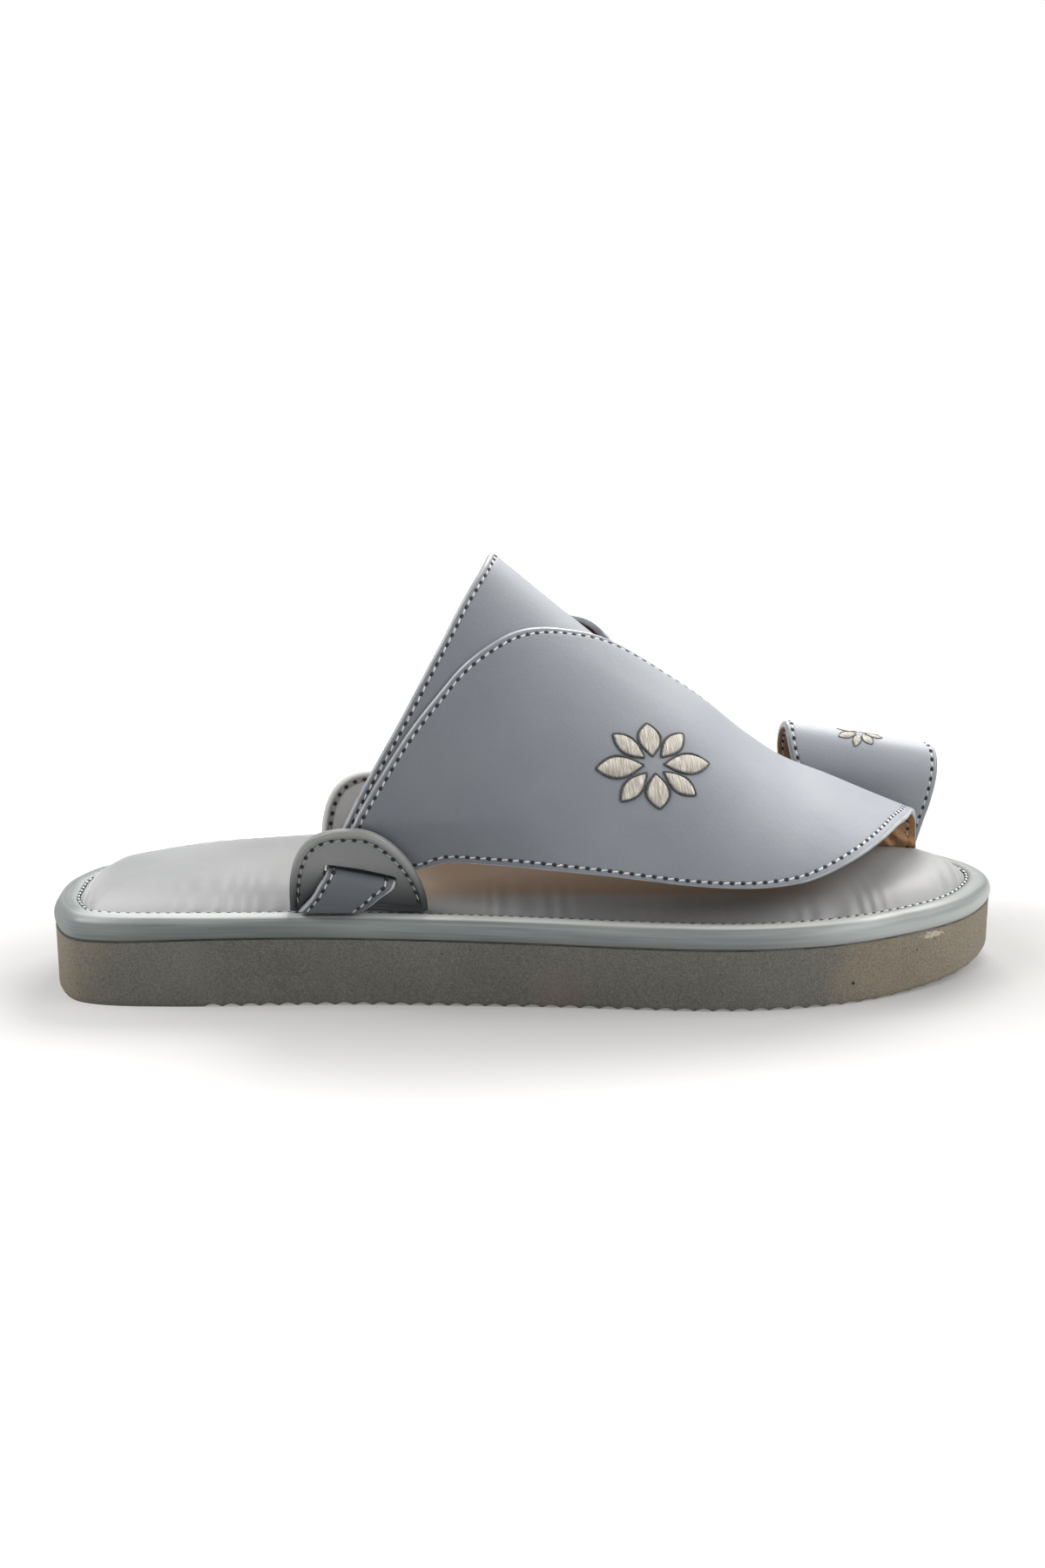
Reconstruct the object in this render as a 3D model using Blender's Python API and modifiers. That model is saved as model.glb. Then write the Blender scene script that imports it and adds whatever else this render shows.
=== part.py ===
"""Arabic sandal, right shoe: outsole, rolled rim, padded insole, strap upper, toe loop and two ears.

Frame: +X towards the toe, +Y the medial side, +Z up, floor at Z = 0, box centre over the origin.
Tables are in millimetres, with x from the heel tip and y from the centre line of the heel.
place() turns them into metres in that frame.
"""
import math
from bisect import bisect_right
from collections import namedtuple

import bmesh
import bpy
from mathutils import Matrix, Vector

MM = 0.001

# Driving sizes of the shoe
LENGTH = 285.0
GAP = 0.3
CENTRE_Y = 2.25
HEEL_TIP_Y = 0.5
TOE_TIP_Y = 5.0
TOE_SPRING = 5.0
SPRING_START = 0.80 * LENGTH
OUTLINE_POINTS = 72

# Plan outline of the sole: half-breadths on the two sides of the centre line
Side = namedtuple("Side", "x lateral medial")
OUTLINE = [
    Side(1.6, 15.5, 13.0),
    Side(10.0, 29.0, 26.0),
    Side(34.0, 34.0, 33.5),
    Side(85.0, 35.3, 35.0),
    Side(142.0, 40.6, 41.0),
    Side(194.0, 47.0, 50.5),
    Side(222.0, 45.2, 51.0),
    Side(246.0, 37.8, 45.5),
    Side(268.0, 25.5, 34.5),
    Side(281.0, 9.5, 19.0),
]

# Height of the outsole's top edge, and how far the footbed pillow stands over its stitch groove
Level = namedtuple("Level", "x top crown")
LEVELS = [
    Level(0.0, 19.8, 8.0),
    Level(50.0, 20.0, 9.0),
    Level(110.0, 19.4, 9.0),
    Level(170.0, 18.2, 7.4),
    Level(225.0, 17.9, 6.4),
    Level(LENGTH, 19.0, 6.0),
]

# Tread: cross grooves from the plain heel seat to the toe
TREAD_START = 46.0
TREAD_PITCH = 5.4
GROOVE_WIDTH = 1.7
GROOVE_DEPTH = 1.0
PROFILE_STEPS = 3
CUT_MARGIN = 10.0
CUT_HEIGHT = 50.0

# Rolled rim: its section from the outer edge to the stitch groove
RimPoint = namedtuple("RimPoint", "inset rise")
RIM_WIDTH = 7.0
RIM_SECTION = [
    RimPoint(0.7, GAP),
    RimPoint(-0.1, 1.6),
    RimPoint(-0.2, 3.6),
    RimPoint(0.7, 5.6),
    RimPoint(2.4, 6.7),
    RimPoint(4.3, 6.7),
    RimPoint(6.2, 5.9),
    RimPoint(RIM_WIDTH, 5.0),
    RimPoint(RIM_WIDTH, GAP),
]
STITCH_RISE = 5.0

# Footbed pillow: round shoulder, and a rise under the arch of the foot
PILLOW_SHOULDER = 17.0
PILLOW_ROUND = 2.3
PILLOW_INSETS = [7.3, 8.0, 9.5, 12.0]
PILLOW_SHARES = [0.28, 0.60, 0.86]
SPINE_HEEL_X = 36.0
SPINE_TOE_X = 238.0
ARCH_RISE = 3.4
ARCH_MID_X = 108.0
ARCH_HALF = 75.0
ARCH_MID_Y = 20.0
ARCH_BREADTH = 16.0

# Wrap form: sections of the last that the straps lie on. round is the section's fullness: 1 a tent, 2 an
# ellipse. tuck leans the foot of a section inwards, where the straps run down inside the ears
Section = namedtuple("Section", "x ridge_y ridge_z lateral medial round_lateral round_medial tuck")
SECTIONS = [
    Section(60.0, 2.0, 178.0, 31.0, 31.0, 1.90, 1.90, 6.5),
    Section(85.0, 2.0, 159.0, 31.0, 31.5, 1.90, 1.90, 6.5),
    Section(116.0, 2.6, 134.6, 32.4, 32.2, 1.84, 1.84, 6.5),
    Section(131.0, 3.0, 122.0, 35.5, 35.5, 1.80, 1.80, 3.0),
    Section(150.0, 3.0, 107.2, 38.5, 39.0, 1.75, 1.75, 0.0),
    Section(170.0, 3.0, 91.6, 41.0, 41.5, 1.75, 1.75, 0.0),
    Section(190.0, 3.5, 78.8, 42.5, 41.0, 1.75, 1.75, 0.0),
    Section(206.0, 4.0, 66.5, 43.0, 37.0, 1.70, 1.75, 0.0),
    Section(218.0, 4.5, 59.7, 42.5, 29.0, 1.65, 1.80, 0.0),
    Section(232.0, 5.0, 53.9, 41.5, 20.0, 1.60, 1.90, 0.0),
    Section(250.0, 5.5, 46.1, 38.5, 14.5, 1.55, 2.20, 0.0),
    Section(265.0, 6.0, 40.0, 35.0, 12.5, 1.50, 2.40, 0.0),
]
FORM_BASE = 30.0
TUCK_HEIGHT = 24.0
PROBE_X = 1.0
PROBE_T = 0.02

# Straps: wall thickness, and how far each layer's lining lies above the wrap form
STRAP = 2.2
FLAP_LIFT = 1.2
CROSS_LIFT = 1.6
CROSS_START_T = -0.25
CROSS_FULL_T = -0.03
UNDER_LIFT = 1.1
TOE_LIFT = 0.2
DIVE_START_X = 168.0
DIVE_END_X = 208.0
CREST_RISE = 3.0
CREST_X = 158.0
CREST_LENGTH = 7.0
CREST_T = 0.09
CREST_BREADTH = 0.10
RIB_STEPS = 2
FLAP_STEPS = 8
BAND_STEPS = 6

# Instep band: t runs from the lateral foot edge (-1) over the ridge (0) to the medial foot edge (1)
BandRib = namedtuple("BandRib", "t x_rear x_front")
INSTEP_BAND = [
    BandRib(-0.87, 87.6, 107.5),
    BandRib(-0.70, 102.0, 124.0),
    BandRib(-0.55, 112.0, 141.0),
    BandRib(-0.40, 119.5, 155.0),
    BandRib(-0.20, 126.5, 167.0),
    BandRib(0.00, 130.0, 171.0),
    BandRib(0.20, 128.5, 168.0),
    BandRib(0.40, 123.5, 158.0),
    BandRib(0.55, 117.0, 146.0),
    BandRib(0.70, 108.0, 130.0),
    BandRib(0.86, 94.6, 114.5),
]

# Flaps: ribs from the ear to the toe post, each from the upper edge to the lower edge on the wrap form
FlapRib = namedtuple("FlapRib", "x_top t_top x_low t_low")
LATERAL_FLAP = [
    FlapRib(89.0, -0.875, 110.5, -0.93),
    FlapRib(97.7, -0.785, 117.2, -0.914),
    FlapRib(105.4, -0.700, 124.7, -0.908),
    FlapRib(113.6, -0.611, 135.7, -0.898),
    FlapRib(120.4, -0.530, 146.8, -0.889),
    FlapRib(128.4, -0.438, 161.3, -0.884),
    FlapRib(134.9, -0.362, 174.1, -0.889),
    FlapRib(141.7, -0.290, 186.3, -0.899),
    FlapRib(149.7, -0.213, 197.4, -0.898),
    FlapRib(160.3, -0.101, 208.6, -0.876),
    FlapRib(172.0, -0.010, 219.5, -0.822),
    FlapRib(186.0, 0.050, 230.7, -0.707),
    FlapRib(198.0, 0.100, 241.0, -0.550),
    FlapRib(208.0, 0.240, 250.0, -0.355),
    FlapRib(218.0, 0.460, 258.7, -0.086),
    FlapRib(228.5, 0.740, 263.5, 0.430),
    FlapRib(237.0, 1.000, 265.0, 1.000),
]
MEDIAL_FLAP = [
    FlapRib(95.0, 0.875, 116.5, 0.93),
    FlapRib(103.0, 0.785, 123.0, 0.914),
    FlapRib(110.0, 0.700, 130.5, 0.906),
    FlapRib(117.5, 0.611, 140.0, 0.895),
    FlapRib(124.0, 0.530, 150.0, 0.887),
    FlapRib(131.0, 0.438, 161.0, 0.884),
    FlapRib(137.0, 0.355, 172.0, 0.884),
    FlapRib(143.0, 0.270, 182.0, 0.875),
    FlapRib(150.0, 0.170, 192.0, 0.840),
    FlapRib(160.0, 0.060, 201.0, 0.770),
    FlapRib(172.0, -0.030, 210.0, 0.680),
    FlapRib(185.0, -0.080, 219.0, 0.600),
    FlapRib(199.0, -0.090, 228.0, 0.580),
    FlapRib(213.0, -0.080, 237.0, 0.640),
    FlapRib(227.0, -0.040, 246.0, 0.780),
    FlapRib(240.0, 0.030, 254.0, 0.950),
]

# Ears: half-round tabs in the stitch groove, leaning outwards, with a slanted slot for the strap end
Ear = namedtuple("Ear", "name side mid_x")
EARS = [Ear("lateral_ear", -1, 90.8), Ear("medial_ear", 1, 97.0)]
EAR_THICK = 2.6
EAR_HALF = 19.8
EAR_HEIGHT = 26.6
EAR_ROUND_REAR = 3.0
EAR_ROUND_FRONT = 1.75
EAR_STEPS = 18
EAR_LEAN = math.radians(15.4)
EAR_FLARE = 0.043
EAR_FOOT_Y = 29.0
EAR_FOOT_Z = 26.8
SLOT_SHIFT = 0.6
SLOT_RISE = 12.0
SLOT_LENGTH = 21.4
SLOT_OPENING = 3.8
SLOT_TILT = math.radians(-12.0)
SLOT_DEPTH = 4 * EAR_THICK

# Strap end, from its foot outside the ear, through the slot, to the stem inside it. x is measured from the
# slot's middle, rise from the slot's line and out from the ear's middle plane; slant is the share of the
# slot's tilt that the rib has
TailRib = namedtuple("TailRib", "x_rear x_front rise out slant")
STRAP_TAIL = [
    TailRib(-18.0, -0.5, -10.6, 2.2, 0.0),
    TailRib(-13.6, 4.4, -6.4, 2.8, 0.5),
    TailRib(-10.4, 8.6, -3.4, 2.1, 1.0),
    TailRib(-9.9, 9.5, -2.2, 1.68, 1.0),
    TailRib(-9.8, 9.8, -1.55, 1.25, 1.0),
    TailRib(-9.8, 9.8, -1.55, -1.2, 1.0),
    TailRib(-9.8, 9.8, -0.79, -3.04, 1.0),
    TailRib(-9.7, 10.0, 1.05, -3.8, 1.0),
    TailRib(-7.9, 13.6, 5.0, -3.85, 2.1),
]

# Toe loop: ribs round the big toe, from its foot beside the toe post to its foot on the medial side
LoopRib = namedtuple("LoopRib", "x_rear y_rear z_rear x_front y_front z_front")
TOE_LOOP = [
    LoopRib(247.0, 22.2, None, 266.0, 20.2, None),
    LoopRib(243.0, 22.6, 38.0, 267.0, 20.2, 37.0),
    LoopRib(234.0, 22.4, 48.0, 268.5, 20.0, 45.5),
    LoopRib(227.5, 22.6, 57.0, 270.0, 20.6, 53.0),
    LoopRib(224.8, 25.0, 64.0, 271.5, 23.4, 57.4),
    LoopRib(224.6, 29.5, 66.4, 272.0, 28.0, 58.5),
    LoopRib(224.6, 36.5, 63.8, 271.5, 33.8, 56.4),
    LoopRib(225.2, 42.0, 57.0, 269.5, 37.6, 50.5),
    LoopRib(227.0, 43.2, 46.5, 266.0, 36.8, 43.0),
    LoopRib(230.0, 41.6, 37.0, 261.0, 34.0, 35.5),
    LoopRib(233.0, 39.0, None, 256.0, 31.2, None),
]
LOOP_STEPS = 8

# Finishes: linear colour, roughness
Finish = namedtuple("Finish", "colour roughness")
SLATE_LEATHER = Finish((0.130, 0.145, 0.170), 0.42)
GREY_LEATHER = Finish((0.300, 0.310, 0.310), 0.50)
PALE_LEATHER = Finish((0.420, 0.440, 0.440), 0.45)
PILLOW_LEATHER = Finish((0.450, 0.455, 0.455), 0.50)
TAUPE_FOAM = Finish((0.170, 0.155, 0.130), 0.90)


def curve_through(knots, values, at):
    """Value at a place on the smooth curve through values at rising knots."""
    last = len(knots) - 1
    at = min(max(at, knots[0]), knots[last])
    low = min(max(bisect_right(knots, at) - 1, 0), last - 1)

    def slope(k):
        before = max(k - 1, 0)
        after = min(k + 1, last)
        return (values[after] - values[before]) / (knots[after] - knots[before])

    width = knots[low + 1] - knots[low]
    u = (at - knots[low]) / width
    start = values[low] * ((1 + 2 * u) * (1 - u) ** 2) + slope(low) * (width * u * (1 - u) ** 2)
    end = values[low + 1] * (u * u * (3 - 2 * u)) + slope(low + 1) * (width * u * u * (u - 1))
    return start + end


def column(table, name, x):
    """Value of a table's named column at x."""
    return curve_through([row.x for row in table], [getattr(row, name) for row in table], x)


def ease(value, low, high):
    """Smooth step from 0 at low to 1 at high."""
    u = min(max((value - low) / (high - low), 0.0), 1.0)
    return u * u * (3 - 2 * u)


def place(point):
    """A table's point as a place in the object's frame, in metres."""
    return Vector((point[0] - LENGTH / 2, point[1] - CENTRE_Y, point[2])) * MM


def sole_outline():
    """Plan outline of the sole, anticlockwise from the heel tip."""
    corners = [Vector((0.0, HEEL_TIP_Y))]
    corners += [Vector((row.x, -row.lateral)) for row in OUTLINE]
    corners += [Vector((LENGTH, TOE_TIP_Y))]
    corners += [Vector((row.x, row.medial)) for row in reversed(OUTLINE)]
    turn = corners[-2:] + corners + corners[:3]
    knots = [0.0]
    for here, ahead in zip(turn, turn[1:]):
        knots.append(knots[-1] + (ahead - here).length)
    start = knots[2]
    span = knots[-3] - start
    return [curve_through(knots, turn, start + span * k / OUTLINE_POINTS) for k in range(OUTLINE_POINTS)]


EDGE = sole_outline()


def inset_loop(inset):
    """The sole outline moved inwards."""
    loop = []
    for k, point in enumerate(EDGE):
        ahead = EDGE[(k + 1) % OUTLINE_POINTS] - EDGE[k - 1]
        inward = Vector((-ahead.y, ahead.x)).normalized()
        loop.append(point + inward * inset)
    return loop


def edge_distance(x, y):
    """Distance from a point of the plan to the sole outline."""
    here = Vector((x, y))
    nearest = LENGTH
    for k, point in enumerate(EDGE):
        side = EDGE[k - 1] - point
        along = min(max((here - point).dot(side) / side.length_squared, 0.0), 1.0)
        nearest = min(nearest, (here - point - side * along).length)
    return nearest


def tread_z(x):
    """Height of the tread above the floor: flat, then rising to the toe."""
    beyond = max(x - SPRING_START, 0.0) / (LENGTH - SPRING_START)
    return TOE_SPRING * beyond ** 2


def footbed_z(x, y):
    """Height of the footbed pillow's surface."""
    inner = min(max((edge_distance(x, y) - PILLOW_INSETS[0]) / PILLOW_SHOULDER, 0.0), 1.0)
    share = 1 - (1 - inner) ** PILLOW_ROUND
    along = max(1 - abs(x - ARCH_MID_X) / ARCH_HALF, 0.0)
    beside = math.exp(-((y - ARCH_MID_Y) / ARCH_BREADTH) ** 2)
    arch = ARCH_RISE * ease(along, 0.0, 1.0) * beside * share
    return column(LEVELS, "top", x) + STITCH_RISE + column(LEVELS, "crown", x) * share + arch


def footing_z(x, y):
    """Height at which a strap's foot clears the footbed."""
    return max(footbed_z(x, y + side) for side in (-STRAP, 0.0, STRAP)) + GAP


def wrap(x, t):
    """Point of the wrap form at a station, t of the way from its ridge to a foot edge."""
    side = -1 if t < 0 else 1
    edge = column(SECTIONS, "lateral" if t < 0 else "medial", x)
    fullness = column(SECTIONS, "round_lateral" if t < 0 else "round_medial", x)
    ridge_y = column(SECTIONS, "ridge_y", x)
    ridge_z = column(SECTIONS, "ridge_z", x)
    angle = min(abs(t), 1.0) * math.pi / 2
    y = ridge_y + (side * edge - ridge_y) * math.sin(angle) ** (2 / fullness)
    z = FORM_BASE + (ridge_z - FORM_BASE) * max(math.cos(angle), 0.0) ** (2 / fullness)
    lean = max(1 - (z - FORM_BASE) / TUCK_HEIGHT, 0.0)
    return Vector((x, y - side * column(SECTIONS, "tuck", x) * lean, z))


def wrap_normal(x, t):
    """Outward direction of the wrap form."""
    along = wrap(x + PROBE_X, t) - wrap(x - PROBE_X, t)
    over = wrap(x, min(t + PROBE_T, 1.0)) - wrap(x, max(t - PROBE_T, -1.0))
    return along.cross(over).normalized()


def lateral_lift(x, t):
    """The lateral flap lies on the band, and on the medial flap too where the two cross."""
    crossing = ease(t, CROSS_START_T, CROSS_FULL_T) * (1 - ease(x, DIVE_START_X, DIVE_END_X))
    return FLAP_LIFT + CROSS_LIFT * crossing


def medial_lift(x, t):
    """The medial flap lies on the band, stands off at its crest and dives under the lateral flap."""
    crest = math.exp(-((x - CREST_X) / CREST_LENGTH) ** 2 - ((t - CREST_T) / CREST_BREADTH) ** 2)
    dive = ease(x, DIVE_START_X, DIVE_END_X)
    return UNDER_LIFT + CREST_RISE * crest + (TOE_LIFT - UNDER_LIFT) * dive


def band_lift(x, t):
    """The instep band lies on the wrap form itself."""
    return 0.0


def form_rib(x_from, t_from, x_to, t_to, steps, lift):
    """Points across a strap on the wrap form, from one edge to the other."""
    rib = []
    for k in range(steps + 1):
        share = k / steps
        x = x_from + (x_to - x_from) * share
        t = t_from + (t_to - t_from) * share
        rib.append(wrap(x, t) + wrap_normal(x, t) * lift(x, t))
    return rib


def finer_rows(table, steps):
    """The rows of a table with smooth rows put between them."""
    knots = list(range(len(table)))
    count = (len(table) - 1) * steps
    rows = []
    for k in range(count + 1):
        values = [curve_through(knots, [row[n] for row in table], k / steps) for n in range(len(table[0]))]
        rows.append(type(table[0])(*values))
    return rows


def ear_point(ear, x, rise, out):
    """Point on an ear: x along the shoe, rise up its slope from its foot, out from its middle plane."""
    base = EAR_FOOT_Y + (x - ear.mid_x) * EAR_FLARE
    y = base + rise * math.sin(EAR_LEAN) + out * math.cos(EAR_LEAN)
    z = EAR_FOOT_Z + rise * math.cos(EAR_LEAN) - out * math.sin(EAR_LEAN)
    return Vector((x, ear.side * y, z))


def tail_ribs(ear):
    """Ribs of the strap end that goes through an ear's slot, from outside to inside."""
    slot_x = ear.mid_x + SLOT_SHIFT
    ribs = []
    for row in STRAP_TAIL:
        rib = []
        for k in range(FLAP_STEPS + 1):
            along = row.x_rear + (row.x_front - row.x_rear) * k / FLAP_STEPS
            rise = SLOT_RISE + row.rise + along * math.tan(SLOT_TILT) * row.slant
            rib.append(ear_point(ear, slot_x + along, rise, row.out))
        ribs.append(rib)
    return ribs


def clear_scene():
    """Remove what the scene holds."""
    for old in list(bpy.data.objects):
        bpy.data.objects.remove(old, do_unlink=True)


def collection(name):
    """A new collection in the scene."""
    group = bpy.data.collections.new(name)
    bpy.context.scene.collection.children.link(group)
    return group


def finish_material(name, finish):
    """A plain Principled material."""
    material = bpy.data.materials.new(name)
    material.use_nodes = True
    shader = material.node_tree.nodes["Principled BSDF"]
    shader.inputs["Base Color"].default_value = (*finish.colour, 1.0)
    shader.inputs["Roughness"].default_value = finish.roughness
    shader.inputs["Metallic"].default_value = 0.0
    return material


def add_object(name, mesh_form, group, finish):
    """A named object from a bmesh, with its finish if it has one."""
    mesh = bpy.data.meshes.new(name)
    mesh_form.to_mesh(mesh)
    mesh_form.free()
    made = bpy.data.objects.new(name, mesh)
    group.objects.link(made)
    if finish:
        mesh.materials.append(finish_material(name, finish))
    return made


def piece(name, mesh_form, group, finish=None):
    """A closed solid whose normals face out."""
    bmesh.ops.recalc_face_normals(mesh_form, faces=mesh_form.faces)
    return add_object(name, mesh_form, group, finish)


def as_helper(made):
    """Show an object that only shapes others as wires, and keep it out of renders."""
    made.hide_render = True
    made.display_type = "WIRE"
    return made


def combine(target, other, operation):
    """Add a Boolean modifier to a piece."""
    step = target.modifiers.new(other.name, "BOOLEAN")
    step.operation = operation
    step.solver = "EXACT"
    step.object = other


def prism(points, push):
    """A closed solid from a flat outline pushed along a vector."""
    form = bmesh.new()
    face = form.faces.new([form.verts.new(point) for point in points])
    grown = bmesh.ops.extrude_face_region(form, geom=[face], use_keep_orig=True)
    moved = [item for item in grown["geom"] if isinstance(item, bmesh.types.BMVert)]
    bmesh.ops.translate(form, verts=moved, vec=push)
    return form


def loft(rings, closed):
    """Quads between neighbouring rings of points. closed joins the last ring to the first."""
    form = bmesh.new()
    rows = [[form.verts.new(point) for point in ring] for ring in rings]
    pairs = list(zip(rows, rows[1:]))
    if closed:
        pairs.append((rows[-1], rows[0]))
    count = len(rows[0])
    for low, high in pairs:
        for k in range(count):
            ahead = (k + 1) % count
            form.faces.new((low[k], low[ahead], high[ahead], high[k]))
    if not closed:
        form.faces.new(rows[0])
        form.faces.new(rows[-1])
    return form


def strap(name, ribs, group, finish=None):
    """A strap of even thickness, outwards from its lining. Its ribs run so that the faces look outwards."""
    form = bmesh.new()
    rows = [[form.verts.new(place(point)) for point in rib] for rib in ribs]
    for low, high in zip(rows, rows[1:]):
        for k in range(len(low) - 1):
            form.faces.new((low[k], low[k + 1], high[k + 1], high[k]))
    made = add_object(name, form, group, finish)
    wall = made.modifiers.new("wall", "SOLIDIFY")
    wall.thickness = STRAP * MM
    wall.offset = 1.0
    wall.use_even_offset = True
    return made


def build_outsole(group, helpers):
    """Slab with the side view's profile and tread, cut to the plan outline."""
    rear = -CUT_MARGIN
    front = LENGTH + CUT_MARGIN
    low = [(rear, 0.0)]
    groove = TREAD_START
    while groove < LENGTH:
        far = groove + GROOVE_WIDTH
        for x, deep in ((groove, 0.0), (groove, GROOVE_DEPTH), (far, GROOVE_DEPTH), (far, 0.0)):
            low.append((x, tread_z(x) + deep))
        groove += TREAD_PITCH
    low.append((front, tread_z(front)))
    top = [(row.x, row.top) for row in finer_rows(LEVELS, PROFILE_STEPS)]
    top = [(rear, top[0][1])] + top + [(front, top[-1][1])]
    profile = [place((x, -LENGTH / 2, z)) for x, z in low + top[::-1]]
    slab = piece("outsole", prism(profile, Vector((0, LENGTH * MM, 0))), group, TAUPE_FOAM)
    plan = [place((point.x, point.y, -CUT_MARGIN)) for point in EDGE]
    shape = piece("outsole_plan", prism(plan, Vector((0, 0, CUT_HEIGHT * MM))), helpers)
    combine(slab, as_helper(shape), "INTERSECT")


def build_rim(group):
    """Rolled rim round the top of the outsole."""
    rings = []
    for row in RIM_SECTION:
        loop = inset_loop(row.inset)
        rings.append([place((p.x, p.y, column(LEVELS, "top", p.x) + row.rise)) for p in loop])
    piece("footbed_rim", loft(rings, True), group, PALE_LEATHER)


def build_insole(group):
    """Footbed pillow: a straight side inside the rim, a round shoulder and a crowned top."""
    edge = inset_loop(PILLOW_INSETS[0])
    rings = [[place((p.x, p.y, column(LEVELS, "top", p.x) + GAP)) for p in edge]]
    for inset in PILLOW_INSETS:
        rings.append([place((p.x, p.y, footbed_z(p.x, p.y))) for p in inset_loop(inset)])
    shoulder = inset_loop(PILLOW_INSETS[-1])
    for share in PILLOW_SHARES:
        ring = []
        for point in shoulder:
            spine_x = min(max(point.x, SPINE_HEEL_X), SPINE_TOE_X)
            spine = Vector((spine_x, TOE_TIP_Y * spine_x / LENGTH))
            inner = point.lerp(spine, share)
            ring.append(place((inner.x, inner.y, footbed_z(inner.x, inner.y))))
        rings.append(ring)
    piece("insole", loft(rings, False), group, PILLOW_LEATHER)


def build_upper(group, helpers):
    """Instep band with a flap on each side of it, joined into one hollow solid."""
    band_ribs = []
    for row in finer_rows(INSTEP_BAND, RIB_STEPS):
        band_ribs.append(form_rib(row.x_rear, row.t, row.x_front, row.t, BAND_STEPS, band_lift))
    upper = strap("upper", band_ribs, group, SLATE_LEATHER)
    lateral = tail_ribs(EARS[0])
    for row in finer_rows(LATERAL_FLAP, RIB_STEPS):
        lateral.append(form_rib(row.x_top, row.t_top, row.x_low, row.t_low, FLAP_STEPS, lateral_lift))
    medial = tail_ribs(EARS[1])
    for row in finer_rows(MEDIAL_FLAP, RIB_STEPS):
        medial.append(form_rib(row.x_top, row.t_top, row.x_low, row.t_low, FLAP_STEPS, medial_lift))
    for name, ribs in (("medial_flap", [rib[::-1] for rib in medial]), ("lateral_flap", lateral)):
        combine(upper, as_helper(strap(name, ribs, helpers)), "UNION")


def build_toe_loop(group):
    """Ring for the big toe, standing on the footbed."""
    ribs = []
    for row in TOE_LOOP:
        rear = Vector((row.x_rear, row.y_rear, row.z_rear or 0.0))
        front = Vector((row.x_front, row.y_front, row.z_front or 0.0))
        rib = [rear.lerp(front, k / LOOP_STEPS) for k in range(LOOP_STEPS + 1)]
        if row.z_rear is None:
            rib = [Vector((point.x, point.y, footing_z(point.x, point.y))) for point in rib]
        ribs.append(rib)
    knots = list(range(len(ribs)))
    count = (len(ribs) - 1) * RIB_STEPS
    finer = []
    for k in range(count + 1):
        finer.append([curve_through(knots, [rib[n] for rib in ribs], k / RIB_STEPS)
                      for n in range(LOOP_STEPS + 1)])
    strap("toe_loop", finer, group, SLATE_LEATHER)


def build_ear(ear, group, helpers):
    """Half-round tab with a slanted slot."""
    outline = []
    for k in range(EAR_STEPS + 1):
        angle = math.pi * k / EAR_STEPS
        turn = math.cos(angle)
        fullness = EAR_ROUND_FRONT if turn > 0 else EAR_ROUND_REAR
        x = ear.mid_x + EAR_HALF * math.copysign(abs(turn) ** (2 / fullness), turn)
        outline.append((x, EAR_HEIGHT * max(math.sin(angle), 0.0) ** (2 / fullness)))
    inner = [place(ear_point(ear, x, rise, -EAR_THICK / 2)) for x, rise in outline]
    push = (ear_point(ear, ear.mid_x, 0, EAR_THICK) - ear_point(ear, ear.mid_x, 0, 0)) * MM
    tab = piece(ear.name, prism(inner, push), group, GREY_LEATHER)
    slot = bmesh.new()
    bmesh.ops.create_cube(slot, size=1.0)
    middle = ear_point(ear, ear.mid_x + SLOT_SHIFT, SLOT_RISE, 0.0)
    along = Vector((1.0, ear.side * EAR_FLARE, 0.0)).normalized()
    out = push.normalized()
    up = along.cross(out) * ear.side
    axes = Matrix((along, out, up)).transposed().to_4x4()
    tilt = Matrix.Rotation(-SLOT_TILT, 4, "Y")
    size = Matrix.Diagonal((SLOT_LENGTH * MM, SLOT_DEPTH * MM, SLOT_OPENING * MM, 1.0))
    seat = Matrix.Translation(place(middle)) @ axes @ tilt
    bmesh.ops.transform(slot, matrix=seat @ size, verts=slot.verts)
    combine(tab, as_helper(piece(ear.name + "_slot", slot, helpers)), "DIFFERENCE")


def main():
    clear_scene()
    group = collection("arabic_sandal")
    helpers = collection("cutters")
    build_outsole(group, helpers)
    build_rim(group)
    build_insole(group)
    build_upper(group, helpers)
    build_toe_loop(group)
    for ear in EARS:
        build_ear(ear, group, helpers)


main()
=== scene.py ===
"""Looks of the arabic sandal, a right shoe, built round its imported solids.

Tables are in millimetres, with x from the heel tip and y from the centre line of the heel, as in the part's
own source. place() turns them into metres in the frame of the solids.
"""
import math
from collections import namedtuple

import bmesh
import bpy
import numpy as np
from mathutils import Matrix, Vector
from mathutils.bvhtree import BVHTree


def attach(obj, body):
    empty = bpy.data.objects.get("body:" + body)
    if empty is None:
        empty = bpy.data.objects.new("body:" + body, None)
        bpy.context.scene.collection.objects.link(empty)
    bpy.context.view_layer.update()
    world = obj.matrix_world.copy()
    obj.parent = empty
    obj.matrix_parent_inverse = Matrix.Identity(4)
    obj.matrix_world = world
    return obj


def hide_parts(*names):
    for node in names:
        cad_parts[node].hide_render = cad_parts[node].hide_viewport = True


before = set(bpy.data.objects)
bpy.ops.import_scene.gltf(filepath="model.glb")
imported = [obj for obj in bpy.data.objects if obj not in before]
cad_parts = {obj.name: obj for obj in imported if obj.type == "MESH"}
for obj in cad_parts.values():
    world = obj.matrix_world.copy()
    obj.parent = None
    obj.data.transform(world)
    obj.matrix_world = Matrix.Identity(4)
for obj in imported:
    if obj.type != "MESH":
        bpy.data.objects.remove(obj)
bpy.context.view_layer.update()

# One millimetre and the distance at which points are welded, in metres, and the least length that counts, in
# millimetres
MM = 0.001
WELD = 1e-6
TINY = 1e-9

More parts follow.
